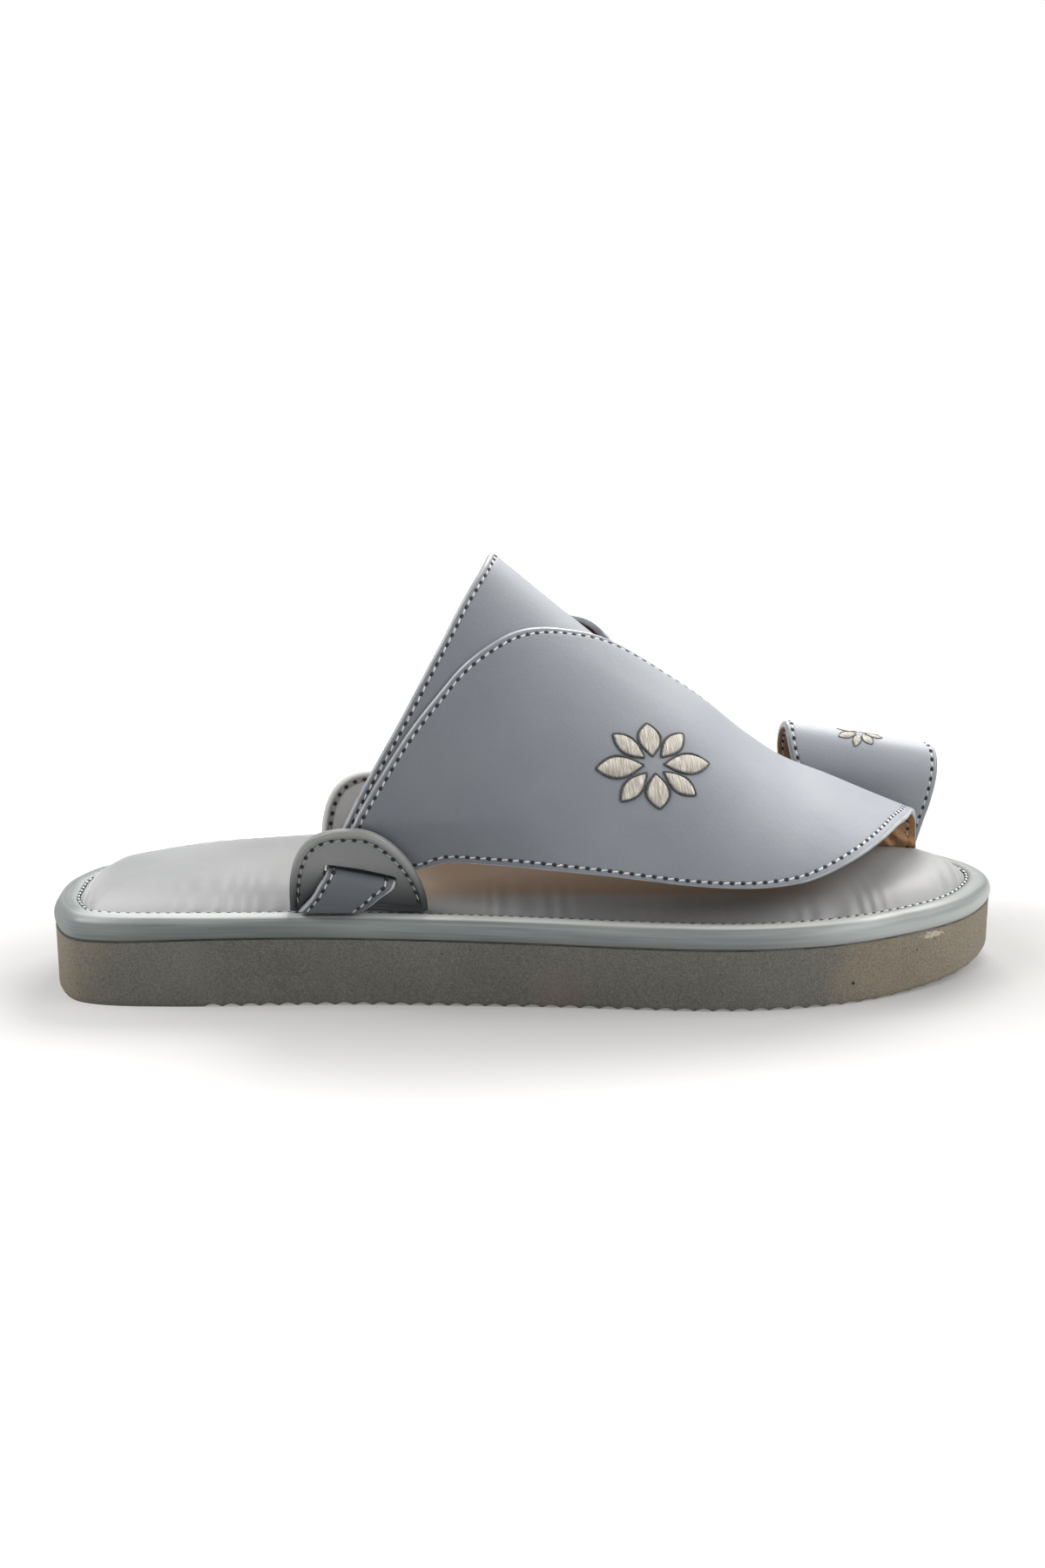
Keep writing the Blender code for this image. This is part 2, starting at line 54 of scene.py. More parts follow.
# Driving sizes of the shoe
LENGTH = 285.0
GAP = 0.3
CENTRE_Y = 2.25
HEEL_TIP_Y = 0.5
TOE_TIP_Y = 5.0
TOE_SPRING = 5.0
SPRING_START = 0.80 * LENGTH

# Plan outline of the sole: half-breadths on the two sides of the centre line
Side = namedtuple("Side", "x lateral medial")
OUTLINE = [
    Side(1.6, 15.5, 13.0),
    Side(10.0, 29.0, 26.0),
    Side(34.0, 34.0, 33.5),
    Side(85.0, 35.3, 35.0),
    Side(142.0, 40.6, 41.0),
    Side(194.0, 47.0, 50.5),
    Side(222.0, 45.2, 51.0),
    Side(246.0, 37.8, 45.5),
    Side(268.0, 25.5, 34.5),
    Side(281.0, 9.5, 19.0),
]

# Height of the outsole's top edge and of the seat that rim and pillow are measured from, and how far the
# footbed pillow stands over its stitch groove
Level = namedtuple("Level", "x top seat crown")
LEVELS = [
    Level(0.0, 18.4, 19.8, 6.8),
    Level(24.0, 19.2, 19.9, 8.0),
    Level(50.0, 20.0, 20.0, 9.3),
    Level(110.0, 19.4, 19.4, 9.4),
    Level(170.0, 18.2, 18.2, 7.6),
    Level(225.0, 17.9, 17.9, 6.6),
    Level(LENGTH, 19.0, 19.0, 7.0),
]

# Tread: cross grooves from the plain heel seat to the toe, and the rounding of the sole's lower edge
TREAD_START = 46.0
TREAD_PITCH = 5.4
FLUTE_DEPTH = 0.85
FLUTE_LAND = 0.6
FLUTE_STEPS = 9
FLUTE_FULLNESS = 0.8
FLUTE_WEAR = 0.6
FLUTE_WEAR_X = (215.0, 245.0)
SOLE_POINTS = 360
SOLE_STATIONS = 60
SHARP_ANGLE = math.radians(35.0)
CUT_MARGIN = 10.0
CUT_HEIGHT = 40.0
CutRing = namedtuple("CutRing", "inset over_tread")
SOLE_ROUNDING = [CutRing(0.6, -0.6), CutRing(0.3, 0.2), CutRing(0.1, 0.6), CutRing(0.0, 1.2)]

# Rolled rim: its section from the outer edge to the seam, its unevenness, and the scallops that the stitches
# pull into it. Waves have a length, a height and a phase. The rim's lengths are shares of its way round
RimPoint = namedtuple("RimPoint", "inset rise")
RIM_WIDTH = 7.0
RIM_HEIGHT = 6.5
RIM_SECTION = [
    RimPoint(0.35, GAP),
    RimPoint(-0.1, 1.6),
    RimPoint(-0.2, 3.4),
    RimPoint(0.5, 5.0),
    RimPoint(1.9, 6.0),
    RimPoint(3.8, RIM_HEIGHT),
    RimPoint(5.8, 6.45),
    RimPoint(RIM_WIDTH, 5.8),
]
RIM_POINTS = 960
RIM_STEPS = 26
RIM_WAVES = [(1 / 11, 0.14, 0.4), (1 / 18, 0.10, 2.1), (1 / 34, 0.06, 4.0)]
SCALLOP = 0.4
SCALLOP_START = 4.6
SCALLOP_RISE = (3.0, 5.0)

# Glue line: a bead under the rim, uneven in height and thicker towards the toe
GLUE_WAVES = [(23.0, 0.3, 0.2), (9.1, 0.25, 1.0), (4.3, 0.15, 2.2)]
GLUE_MEAN = 0.5
GLUE_LEAST = 0.05
GLUE_SWELL = 0.34
GLUE_HEEL_SHARE = 0.3
GLUE_THICKER_X = (150.0, 260.0)
GLUE_INSET = 0.45
GLUE_BREADTH = 0.5
GLUE_SIDES = 8

# Footbed pillow: its round shoulder, a dome over it, a tilt to the medial side, a rise under the arch, and
# puckers where the cover is sewn down, with the waves of their strength and of their spacing
EDGE_POINTS = 480
STITCH_RISE = 5.5
PILLOW_INSET = 7.3
PILLOW_WALL = 14.0
PILLOW_ROUND = 3.0
DOME_BREADTH = 28.0
DOME_SHARE = 0.38
PILLOW_TILT = 0.007
PILLOW_STATIONS = 380
PILLOW_SHARES = 28
PILLOW_BOTTOM = 4
ARCH_RISE = 4.3
ARCH_MID_X = 108.0
ARCH_HALF = 100.0
ARCH_MID_Y = 20.0
ARCH_BREADTH = 16.0
PUCKER_PITCH = 5.4
PUCKER_DEPTH = 0.42
PUCKER_REACH = 5.2
PUCKER_START = 1.2
PUCKER_MEAN = 0.6
PUCKER_LEAST = 0.15
PUCKER_WAVES = [(47.0, 0.5, 0.3), (83.0, 0.5, 1.9)]
DRIFT_WAVES = [(23.0, 1.6, 0.0), (67.0, 2.6, 0.0)]

# Wrap form: sections of the last that the straps lie on
Section = namedtuple("Section", "x ridge_y ridge_z lateral medial round_lateral round_medial tuck")
SECTIONS = [
    Section(60.0, 2.0, 178.0, 31.0, 31.0, 1.90, 1.90, 6.5),
    Section(85.0, 2.0, 159.0, 31.0, 31.5, 1.90, 1.90, 6.5),
    Section(116.0, 2.6, 134.6, 32.4, 32.2, 1.84, 1.84, 6.5),
    Section(131.0, 3.0, 122.8, 35.5, 35.5, 1.80, 1.80, 3.0),
    Section(150.0, 3.0, 107.2, 38.5, 39.0, 1.75, 1.75, 0.0),
    Section(170.0, 3.0, 91.6, 41.0, 41.5, 1.75, 1.75, 0.0),
    Section(190.0, 3.5, 79.5, 42.5, 41.0, 1.75, 1.75, 0.0),
    Section(206.0, 4.0, 67.6, 43.0, 37.0, 1.70, 1.75, 0.0),
    Section(218.0, 4.5, 59.7, 42.5, 29.0, 1.65, 1.80, 0.0),
    Section(232.0, 5.0, 53.9, 41.5, 20.0, 1.60, 1.90, 0.0),
    Section(250.0, 5.5, 46.1, 38.5, 14.5, 1.55, 2.20, 0.0),
    Section(265.0, 6.0, 40.0, 35.0, 12.5, 1.50, 2.40, 0.0),
]
FORM_BASE = 30.0
TUCK_HEIGHT = 24.0
PROBE_X = 1.0
PROBE_T = 0.02

# Straps: wall thickness, and how far each layer's lining lies above the wrap form
STRAP = 2.2
FLAP_LIFT = 1.2
CROSS_LIFT = 1.6
CROSS_START_T = -0.25
CROSS_FULL_T = -0.03
STAND_RISE = 1.4
STAND_X = 166.0
STAND_LENGTH = 17.0
STAND_START_T = -0.55
STAND_FULL_T = -0.15
UNDER_LIFT = 1.1
TOE_LIFT = 0.2
DIVE_START_X = 168.0
DIVE_END_X = 208.0
CREST_RISE = 2.3
CREST_X = 158.0
CREST_LENGTH = 7.0
CREST_T = 0.09
CREST_BREADTH = 0.10

# Instep band: t runs from the lateral foot edge (-1) over the ridge (0) to the medial foot edge (1)
BandRib = namedtuple("BandRib", "t x_rear x_front")
INSTEP_BAND = [
    BandRib(-0.93, 83.0, 102.5),
    BandRib(-0.87, 87.6, 107.5),
    BandRib(-0.70, 102.0, 124.0),
    BandRib(-0.55, 112.0, 141.0),
    BandRib(-0.40, 119.5, 155.0),
    BandRib(-0.20, 126.5, 167.0),
    BandRib(0.00, 129.2, 171.0),
    BandRib(0.20, 128.5, 168.0),
    BandRib(0.40, 123.5, 158.0),
    BandRib(0.55, 117.0, 146.0),
    BandRib(0.70, 108.0, 130.0),
    BandRib(0.86, 94.6, 114.5),
    BandRib(0.92, 90.0, 109.5),
]

# Flaps: ribs from the ear to the toe post, each from the upper edge to the lower edge on the wrap form
FlapRib = namedtuple("FlapRib", "x_top t_top x_low t_low")
LATERAL_FLAP = [
    FlapRib(89.0, -0.875, 110.5, -0.93),
    FlapRib(97.7, -0.785, 117.2, -0.914),
    FlapRib(105.4, -0.700, 124.7, -0.908),
    FlapRib(113.6, -0.611, 135.7, -0.900),
    FlapRib(120.4, -0.530, 146.8, -0.894),
    FlapRib(128.4, -0.438, 161.3, -0.891),
    FlapRib(134.9, -0.362, 174.1, -0.895),
    FlapRib(141.7, -0.290, 186.3, -0.902),
    FlapRib(149.7, -0.213, 197.4, -0.898),
    FlapRib(160.3, -0.120, 208.6, -0.876),
    FlapRib(172.0, -0.065, 219.5, -0.822),
    FlapRib(186.0, -0.030, 230.7, -0.707),
    FlapRib(198.0, 0.040, 241.0, -0.550),
    FlapRib(208.0, 0.210, 250.0, -0.355),
    FlapRib(218.0, 0.460, 258.7, -0.086),
    FlapRib(228.5, 0.740, 263.5, 0.430),
    FlapRib(237.0, 1.000, 265.0, 1.000),
]
MEDIAL_FLAP = [
    FlapRib(95.0, 0.875, 116.5, 0.93),
    FlapRib(103.0, 0.785, 123.0, 0.914),
    FlapRib(110.0, 0.700, 130.5, 0.906),
    FlapRib(117.5, 0.611, 140.0, 0.895),
    FlapRib(124.0, 0.530, 150.0, 0.887),
    FlapRib(131.0, 0.438, 161.0, 0.884),
    FlapRib(137.0, 0.355, 172.0, 0.884),
    FlapRib(143.0, 0.270, 182.0, 0.875),
    FlapRib(150.0, 0.170, 192.0, 0.840),
    FlapRib(160.0, 0.060, 201.0, 0.770),
    FlapRib(172.0, -0.030, 210.0, 0.680),
    FlapRib(185.0, -0.080, 219.0, 0.600),
    FlapRib(199.0, -0.090, 228.0, 0.580),
    FlapRib(213.0, -0.080, 237.0, 0.640),
    FlapRib(227.0, -0.040, 246.0, 0.780),
    FlapRib(240.0, 0.030, 254.0, 0.950),
]

# Ears: half-round tabs in the stitch groove, leaning outwards, with a slanted slot for the strap end
Ear = namedtuple("Ear", "name side mid_x")
EARS = [Ear("lateral_ear", -1, 90.8), Ear("medial_ear", 1, 97.0)]
EAR_THICK = 2.6
EAR_HALF = 19.8
EAR_HEIGHT = 26.6
EAR_ROUND_REAR = 3.0
EAR_ROUND_FRONT = 1.75
EAR_LEAN = math.radians(15.4)
EAR_FLARE = 0.043
EAR_FOOT_Y = 29.0
EAR_FOOT_Z = 26.8
EAR_POINTS = 220
EAR_ARC_STEPS = 400
SLOT_SHIFT = 0.6
SLOT_RISE = 12.0
SLOT_LENGTH = 20.3
SLOT_OPENING = 3.8
SLOT_TILT = math.radians(-12.0)
SLOT_SQUARE = 7.0

# Strap end, from its foot outside the ear, through the slot, to the stem inside it. x is measured from the
# slot's middle, rise from the slot's line and out from the ear's middle plane
TailRib = namedtuple("TailRib", "x_rear x_front rise out slant")
STRAP_TAIL = [
    TailRib(-18.0, -0.5, -10.6, 2.2, 0.0),
    TailRib(-13.6, 4.4, -6.4, 2.8, 0.5),
    TailRib(-11.4, 7.7, -3.4, 2.2, 0.9),
    TailRib(-10.3, 9.2, -2.2, 1.75, 1.0),
    TailRib(-9.8, 9.8, -1.55, 1.25, 1.0),
    TailRib(-9.8, 9.8, -1.55, -1.2, 1.0),
    TailRib(-9.8, 9.8, -0.79, -3.04, 1.0),
    TailRib(-9.7, 10.0, 1.05, -3.8, 1.0),
    TailRib(-7.9, 13.6, 5.0, -3.85, 2.1),
]

# Toe loop: ribs round the big toe, from its foot beside the toe post to its foot on the medial side
LoopRib = namedtuple("LoopRib", "x_rear y_rear z_rear x_front y_front z_front")
TOE_LOOP = [
    LoopRib(247.0, 22.2, None, 266.0, 20.2, None),
    LoopRib(240.5, 22.6, 38.0, 268.2, 20.2, 37.0),
    LoopRib(231.0, 22.4, 48.0, 270.6, 20.0, 45.5),
    LoopRib(226.2, 22.6, 57.0, 272.0, 20.6, 53.0),
    LoopRib(224.6, 25.0, 64.0, 272.3, 23.4, 57.4),
    LoopRib(224.6, 29.5, 66.4, 272.0, 28.0, 58.5),
    LoopRib(224.6, 36.5, 63.8, 271.5, 33.8, 56.4),
    LoopRib(225.2, 42.0, 57.0, 269.5, 37.6, 50.5),
    LoopRib(227.0, 43.2, 46.5, 266.0, 36.8, 43.0),
    LoopRib(230.0, 41.6, 37.0, 261.0, 34.0, 35.5),
    LoopRib(233.0, 39.0, None, 256.0, 31.2, None),
]

# Leather sheets: how fine their mesh is, the turn of a cut edge (height is a share of the thickness) with the
# material of each of its steps, and the insets from an edge at which the face has a row of points
RIB_POINTS = 41
RIB_SHARES = np.linspace(0.0, 1.0, RIB_POINTS)
ROW_STEPS = 4
SHEET_SPACING = 0.8
END_ROUND = 1.0
EdgePoint = namedtuple("EdgePoint", "inset height")
EDGE_TURN = [
    EdgePoint(0.70, 0.985),
    EdgePoint(0.38, 0.93),
    EdgePoint(0.14, 0.84),
    EdgePoint(0.0, 0.71),
    EdgePoint(0.0, 0.38),
    EdgePoint(0.06, 0.18),
    EdgePoint(0.22, 0.05),
    EdgePoint(0.55, 0.0),
]
EDGE_ZONES = [1, 1, 1, 2, 2, 2, 3]
FACE_INSETS = [0.9, 1.25, 1.55, 1.85, 2.15, 2.45, 2.75, 3.1, 3.6, 4.4, 5.6]
FACE_MIDDLE = 28
FACE_LEAST = 2.0

# Soft creases of the lining inside the toe post: a line from one place to another in side view
Crease = namedtuple("Crease", "x_from z_from x_to z_to width height")
LINING_CREASES = [
    Crease(254.6, 38.6, 260.6, 32.4, 1.1, 1.1),
    Crease(259.8, 32.9, 264.2, 32.3, 1.0, 0.8),
    Crease(252.6, 35.6, 257.4, 30.6, 1.1, 1.0),
    Crease(253.8, 37.0, 259.4, 31.0, 1.0, -0.6),
]

# Stitching: pitch, thread and needle holes
BEAD_SIDES = 8
BEAD_RINGS = 6
PATH_PROBE = 0.2
STITCH_PITCH = 3.15
STITCH_START = 2.0
STITCH_INSET = 1.9
HEM_INSET = 2.8
HEM_TROUGH = 0.10
STITCH_LENGTH = 2.0
STITCH_WIDTH = 0.52
STITCH_HEIGHT = 0.32
STITCH_SLANT = 0.16
HOLE_LENGTH = 1.45
HOLE_WIDTH = 1.25
HOLE_HEIGHT = 0.44
THREAD_LIFT = 0.06
HOLE_LIFT = 0.04
TROUGH_DEPTH = 0.24
TROUGH_WIDTH = 0.5
EAR_STITCH_PITCH = 3.2
EAR_STITCH_LENGTH = 2.2
EAR_STITCH_WIDTH = 0.34
EAR_STITCH_START = 1.0
EAR_STITCH_INSET = 2.7
EAR_STITCH_LIFT = 0.1
EAR_ROLL = 0.42
EAR_ROLL_INSET = 1.35
EAR_ROLL_WIDTH = 0.9
SEAM_PITCH = 2.9
SEAM_INSET = 6.95
SEAM_RISE = 5.95
SEAM_LENGTH = 2.2
SEAM_WIDTH = 0.65

# Marks on the foam: middle and reach of a pink tint and of a pale ragged smear, in metres in the frame of the
# solids, and open pits in the lateral wall
FOAM_TINT = (0.005, -0.043, 0.004)
TINT_REACH = (0.002, 0.011)
SMEAR_FLATNESS = 4.5
FOAM_SMEAR = (0.1147, -0.0325, 0.0170 * SMEAR_FLATNESS)
SMEAR_REACH = (0.002, 0.012)
SMEAR_EDGE = (0.80, 0.88)
RAG_FLATNESS = 2.2
PIT_ROUNDNESS = 0.85
PIT_DEPTH = 0.12
Pit = namedtuple("Pit", "x z size")
FOAM_PITS = [
    Pit(232.4, 6.2, 1.2),
    Pit(113.1, 15.8, 0.6),
    Pit(122.3, 17.0, 0.55),
    Pit(87.3, 4.4, 0.5),
    Pit(253.0, 13.2, 0.6),
    Pit(258.5, 15.4, 0.5),
    Pit(60.0, 9.6, 0.4),
]

# Leaf rosette, embroidered: turn from the motif's long axis, where a leaf starts and ends, and its half-width
Leaf = namedtuple("Leaf", "turn start end half")
ROSETTE = [Leaf(turn, 3.0, 17.0, 3.1) for turn in (0.0, 180.0)]
ROSETTE += [Leaf(turn, 2.6, 13.0, 3.3) for turn in (90.0, 270.0)]
ROSETTE += [Leaf(turn, 3.4, 14.6, 2.5) for turn in (42.0, 138.0, 222.0, 318.0)]
LEAF_STEPS = 30
LEAF_ACROSS = 12
LEAF_RISE = 0.75
LEAF_SINK = 0.05
LEAF_LEAN = 1.15
LEAF_FULLNESS = 0.85
LEAF_BLUNTNESS = 0.4
CORD_RADIUS = 0.36
CORD_STEPS = 90
CORD_SIDES = 8
CORD_SPREAD = 1.06
CORD_RISE = 0.12
CORD_ASIDE = (0.31, 0.9, 0.28)
MOTIF_DROP = 14.0
Motif = namedtuple("Motif", "name spot facing scale slot")
FLAP_MOTIF = Motif("flap_rosette", (175.2, -31.0, 68.7), (0.15, -0.84, 0.52), 1.0, "upper")
RING_MOTIF = Motif("ring_rosette", (248.5, 28.6, 62.8), (0.17, -0.33, 0.93), 0.50, "toe_loop")

# Tone: what most of a soft noise spans, and from where to where leather and foam change colour, in metres in
# the frame of the solids. Most spans on the leather place painted shade, painted light and painted
# highlights, and the brown ones a painted reflection of the tan lining; the foam's are its own colour. The
# rim's levels are in millimetres up its section
NOISE_SPAN = (0.3, 0.7)
STRAP_HEELWARD_X = (-0.045, 0.035)
STRAP_SHADE_X = (-0.044, -0.030)
STRAP_SHADE_Z = (0.032, 0.050)
BROWN_REAR_X = (-0.041, -0.035)
BROWN_FRONT_X = (0.060, 0.095)
BROWN_OUTER_Y = (-0.031, -0.0255)
BROWN_INNER_Y = (-0.010, 0.002)
PILLOW_LOW_Z = (0.0275, 0.0330)
PILLOW_HEEL_X = (-0.055, -0.042)
PILLOW_TOE_X = (0.055, 0.115)
EAR_SHADE_Z = (0.0285, 0.0440)
RIM_TOE_X = (0.085, 0.110)
RIM_FRONT_X = (0.055, 0.100)
RIM_HEEL_X = (-0.075, -0.045)
RIM_HEEL_TIP_X = (-0.128, -0.108)
RIM_LATERAL_Y = (-0.033, -0.022)
RIM_HIGH = (2.0, 6.0)
RIM_HIGHLIGHT = (6.6, 7.9)
FOAM_TOE_X = (0.078, 0.098)
FOAM_HEEL_X = (-0.137, -0.122)

# Camera of the photo
CAMERA_TARGET = (139.62, 0.0, 56.22)
CAMERA_AZIMUTH = 0.0574
CAMERA_ELEVATION = 0.2398
CAMERA_DISTANCE = 550.58
CAMERA_LENS = 41.934
SENSOR = 36.0

# Stage: floor with a painted glow and a painted soft shade about the shoe, lamps, and a room whose white
# walls are higher behind
FLOOR_RADIUS = 3.0
FLOOR_SIDES = 96
FLOOR_SHADE_SHAPE = (0.45, 1.0, 1.0)
FLOOR_SHADE_SPOT = (0.014, 0.0, 0.0)
FLOOR_SHADE_REACH = (0.03, 0.16)
FLOOR_WHITE_REACH = (0.2, 0.9)
Lamp = namedtuple("Lamp", "name spot target size power")
LAMPS = [
    Lamp("behind", (0.34, 0.74, 0.83), (0.0, 0.0, 0.03), (0.8, 0.6), 24.5),
    Lamp("beyond_toe", (0.82, 0.0, 0.83), (0.08, 0.0, 0.04), (0.6, 0.6), 8.4),
    Lamp("before_toe", (0.52, -0.30, 0.46), (0.10, 0.0, 0.04), (0.4, 0.4), 3.2),
    Lamp("beyond_heel", (-0.76, -0.06, 0.94), (-0.1, 0.0, 0.03), (0.6, 0.6), 14.0),
]
LAMP_TINT = (1.0, 0.98, 0.95)
ROOM_SHADE = (0.016, 0.017, 0.018)
ROOM_WHITE = (1.05, 1.05, 1.05)
ROOM_BACK_Y = (-0.35, 0.15)
ROOM_BACK_RISE = 0.11
ROOM_EDGE_Z = (0.08, 0.20)


def curve_through(knots, values, at):
    """Values at places on the smooth curve through values at rising knots."""
    knots = np.asarray(knots, float)
    values = np.asarray(values, float)
    at = np.clip(at, knots[0], knots[-1])
    last = len(knots) - 1
    low = np.clip(np.searchsorted(knots, at, side="right") - 1, 0, last - 1)
    behind = np.maximum(np.arange(last + 1) - 1, 0)
    ahead = np.minimum(np.arange(last + 1) + 1, last)
    spread = (slice(None),) + (None,) * (values.ndim - 1)
    slopes = (values[ahead] - values[behind]) / (knots[ahead] - knots[behind])[spread]
    width = knots[low + 1] - knots[low]
    u = (at - knots[low]) / width
    fan = (Ellipsis,) + (None,) * (values.ndim - 1)
    start = values[low] * ((1 + 2 * u) * (1 - u) ** 2)[fan] + slopes[low] * (width * u * (1 - u) ** 2)[fan]
    end = values[low + 1] * (u * u * (3 - 2 * u))[fan] + slopes[low + 1] * (width * u * u * (u - 1))[fan]
    return start + end


def column(table, name, x):
    """Values of a table's named column at x."""
    knots = [row.x for row in table]
    return curve_through(knots, [getattr(row, name) for row in table], np.asarray(x, float))


def ease(value, low, high):
    """Smooth step from 0 at low to 1 at high."""
    u = np.clip((np.asarray(value, float) - low) / (high - low), 0.0, 1.0)
    return u * u * (3 - 2 * u)


def place(points):
    """Table points as places in the frame of the solids, in metres."""
    return (np.asarray(points, float) - (LENGTH / 2, CENTRE_Y, 0.0)) * MM


def unit(vectors):
    """Vectors at length one."""
    return vectors / np.linalg.norm(vectors, axis=-1, keepdims=True)


def lengths_along(points):
    """Length from the first point of a path to each of its points."""
    steps = np.linalg.norm(np.diff(points, axis=0), axis=-1)
    return np.concatenate([[0.0], np.cumsum(steps)])


def values_along(travel, values, at):
    """Points or directions at places along a path, from those at its own points."""
    return np.stack([np.interp(at, travel, part) for part in values.T], -1)


def wobble(travel, waves):
    """A gentle unevenness along a length: a sum of waves of (length, height, phase)."""
    return sum(height * np.sin(2 * math.pi * travel / length + phase) for length, height, phase in waves)


def raised(plan, z):
    """Places of the plan with their heights."""
    return np.concatenate([plan, z[..., None]], -1)


def sole_outline(count):
    """Plan outline of the sole, anticlockwise from the heel tip: places, and inward directions."""
    corners = [(0.0, HEEL_TIP_Y)]
    corners += [(row.x, -row.lateral) for row in OUTLINE]
    corners += [(LENGTH, TOE_TIP_Y)]
    corners += [(row.x, row.medial) for row in reversed(OUTLINE)]
    turn = np.array(corners[-2:] + corners + corners[:3])
    knots = lengths_along(turn)
    start = knots[2]
    span = knots[-3] - start
    edge = curve_through(knots, turn, start + span * np.arange(count) / count)
    ahead = np.roll(edge, -1, axis=0) - np.roll(edge, 1, axis=0)
    return edge, unit(np.stack([-ahead[:, 1], ahead[:, 0]], -1))


def edge_distance(x, y, edge):
    """Distance from points of the plan to the sole outline."""
    here = np.stack([x, y], -1)
    nearest = np.full(np.shape(x), LENGTH)
    for near, far in zip(edge, np.roll(edge, 1, axis=0)):
        side = far - near
        along = np.clip((here - near) @ side / (side @ side), 0.0, 1.0)
        nearest = np.minimum(nearest, np.linalg.norm(here - near - along[..., None] * side, axis=-1))
    return nearest


def tread_z(x):
    """Height of the tread above the floor: flat, then rising to the toe."""
    return TOE_SPRING * (np.maximum(np.asarray(x, float) - SPRING_START, 0.0) / (LENGTH - SPRING_START)) ** 2


EDGE, INWARD = sole_outline(EDGE_POINTS)


def footbed_z(x, y):
    """Height of the footbed pillow's surface."""
    return pillow_z(x, y, edge_distance(x, y, EDGE) - PILLOW_INSET)


def pillow_z(x, y, inset):
    """Height of the footbed pillow's surface at points that lie that far inside its sewn edge."""
    wall = 1 - (1 - np.clip(inset / PILLOW_WALL, 0.0, 1.0)) ** PILLOW_ROUND
    dome = 1 - (1 - np.clip(inset / DOME_BREADTH, 0.0, 1.0)) ** 2
    share = wall * (1 - DOME_SHARE) + dome * DOME_SHARE
    along = np.maximum(1 - np.abs(x - ARCH_MID_X) / ARCH_HALF, 0.0)
    beside = np.exp(-((y - ARCH_MID_Y) / ARCH_BREADTH) ** 2)
    arch = ARCH_RISE * ease(along, 0.0, 1.0) * beside * share
    crown = column(LEVELS, "crown", x) * (1 + PILLOW_TILT * y)
    return column(LEVELS, "seat", x) + STITCH_RISE + crown * share + arch


def footing_z(x, y):
    """Height at which a strap's foot clears the footbed."""
    return np.max([footbed_z(x, y + side) for side in (-STRAP, 0.0, STRAP)], axis=0) + GAP


def wrap(x, t):
    """Points of the wrap form at stations, t of the way from its ridge to a foot edge."""
    x, t = np.broadcast_arrays(np.asarray(x, float), np.asarray(t, float))
    on_lateral = t < 0
    side = np.where(on_lateral, -1.0, 1.0)
    edge = np.where(on_lateral, column(SECTIONS, "lateral", x), column(SECTIONS, "medial", x))
    fullness = np.where(on_lateral, column(SECTIONS, "round_lateral", x), column(SECTIONS, "round_medial", x))
    ridge_y = column(SECTIONS, "ridge_y", x)
    angle = np.minimum(np.abs(t), 1.0) * math.pi / 2
    y = ridge_y + (side * edge - ridge_y) * np.sin(angle) ** (2 / fullness)
    rise = column(SECTIONS, "ridge_z", x) - FORM_BASE
    z = FORM_BASE + rise * np.maximum(np.cos(angle), 0.0) ** (2 / fullness)
    lean = np.maximum(1 - (z - FORM_BASE) / TUCK_HEIGHT, 0.0)
    return np.stack([x, y - side * column(SECTIONS, "tuck", x) * lean, z], -1)


def wrap_normal(x, t):
    """Outward directions of the wrap form."""
    along = wrap(x + PROBE_X, t) - wrap(x - PROBE_X, t)
    over = wrap(x, np.minimum(t + PROBE_T, 1.0)) - wrap(x, np.maximum(t - PROBE_T, -1.0))
    return unit(np.cross(along, over))


def lateral_lift(x, t):
    """The lateral flap lies on the band, then on the medial flap, and stands off a little past its peak."""
    over = CROSS_LIFT * ease(t, CROSS_START_T, CROSS_FULL_T) * (1 - ease(x, DIVE_START_X, DIVE_END_X))
    stand = np.exp(-((x - STAND_X) / STAND_LENGTH) ** 2) * ease(t, STAND_START_T, STAND_FULL_T)
    return FLAP_LIFT + over + STAND_RISE * stand


def medial_lift(x, t):
    """The medial flap lies on the band, stands off at its crest and dives under the lateral flap."""
    crest = np.exp(-((x - CREST_X) / CREST_LENGTH) ** 2 - ((t - CREST_T) / CREST_BREADTH) ** 2)
    return UNDER_LIFT + CREST_RISE * crest + (TOE_LIFT - UNDER_LIFT) * ease(x, DIVE_START_X, DIVE_END_X)


def band_lift(x, t):
    """The instep band lies on the wrap form itself."""
    return 0.0 * x


def finer(table, name):
    """A table's column with smooth values between its rows."""
    knots = np.arange(len(table))
    at = np.linspace(0, len(table) - 1, (len(table) - 1) * ROW_STEPS + 1)
    return curve_through(knots, [getattr(row, name) for row in table], at)[:, None]


def form_ribs(x_from, t_from, x_to, t_to, lift):
    """Points across a strap on the wrap form, a row for each rib."""
    x = x_from + (x_to - x_from) * RIB_SHARES
    t = t_from + (t_to - t_from) * RIB_SHARES
    return wrap(x, t) + wrap_normal(x, t) * lift(x, t)[..., None]


def flap_ribs(table, lift):
    """Ribs of a flap, from its upper edge to its lower edge."""
    columns = [finer(table, name) for name in ("x_top", "t_top", "x_low", "t_low")]
    return form_ribs(*columns, lift)


def ear_point(ear, x, rise, out):
    """Points on an ear: x along the shoe, rise up its slope from its foot, out from its middle plane."""
    x, rise, out = np.broadcast_arrays(x, rise, out)
    base = EAR_FOOT_Y + (x - ear.mid_x) * EAR_FLARE
    y = base + rise * math.sin(EAR_LEAN) + out * math.cos(EAR_LEAN)
    z = EAR_FOOT_Z + rise * math.cos(EAR_LEAN) - out * math.sin(EAR_LEAN)
    return np.stack([x, ear.side * y, z], -1)


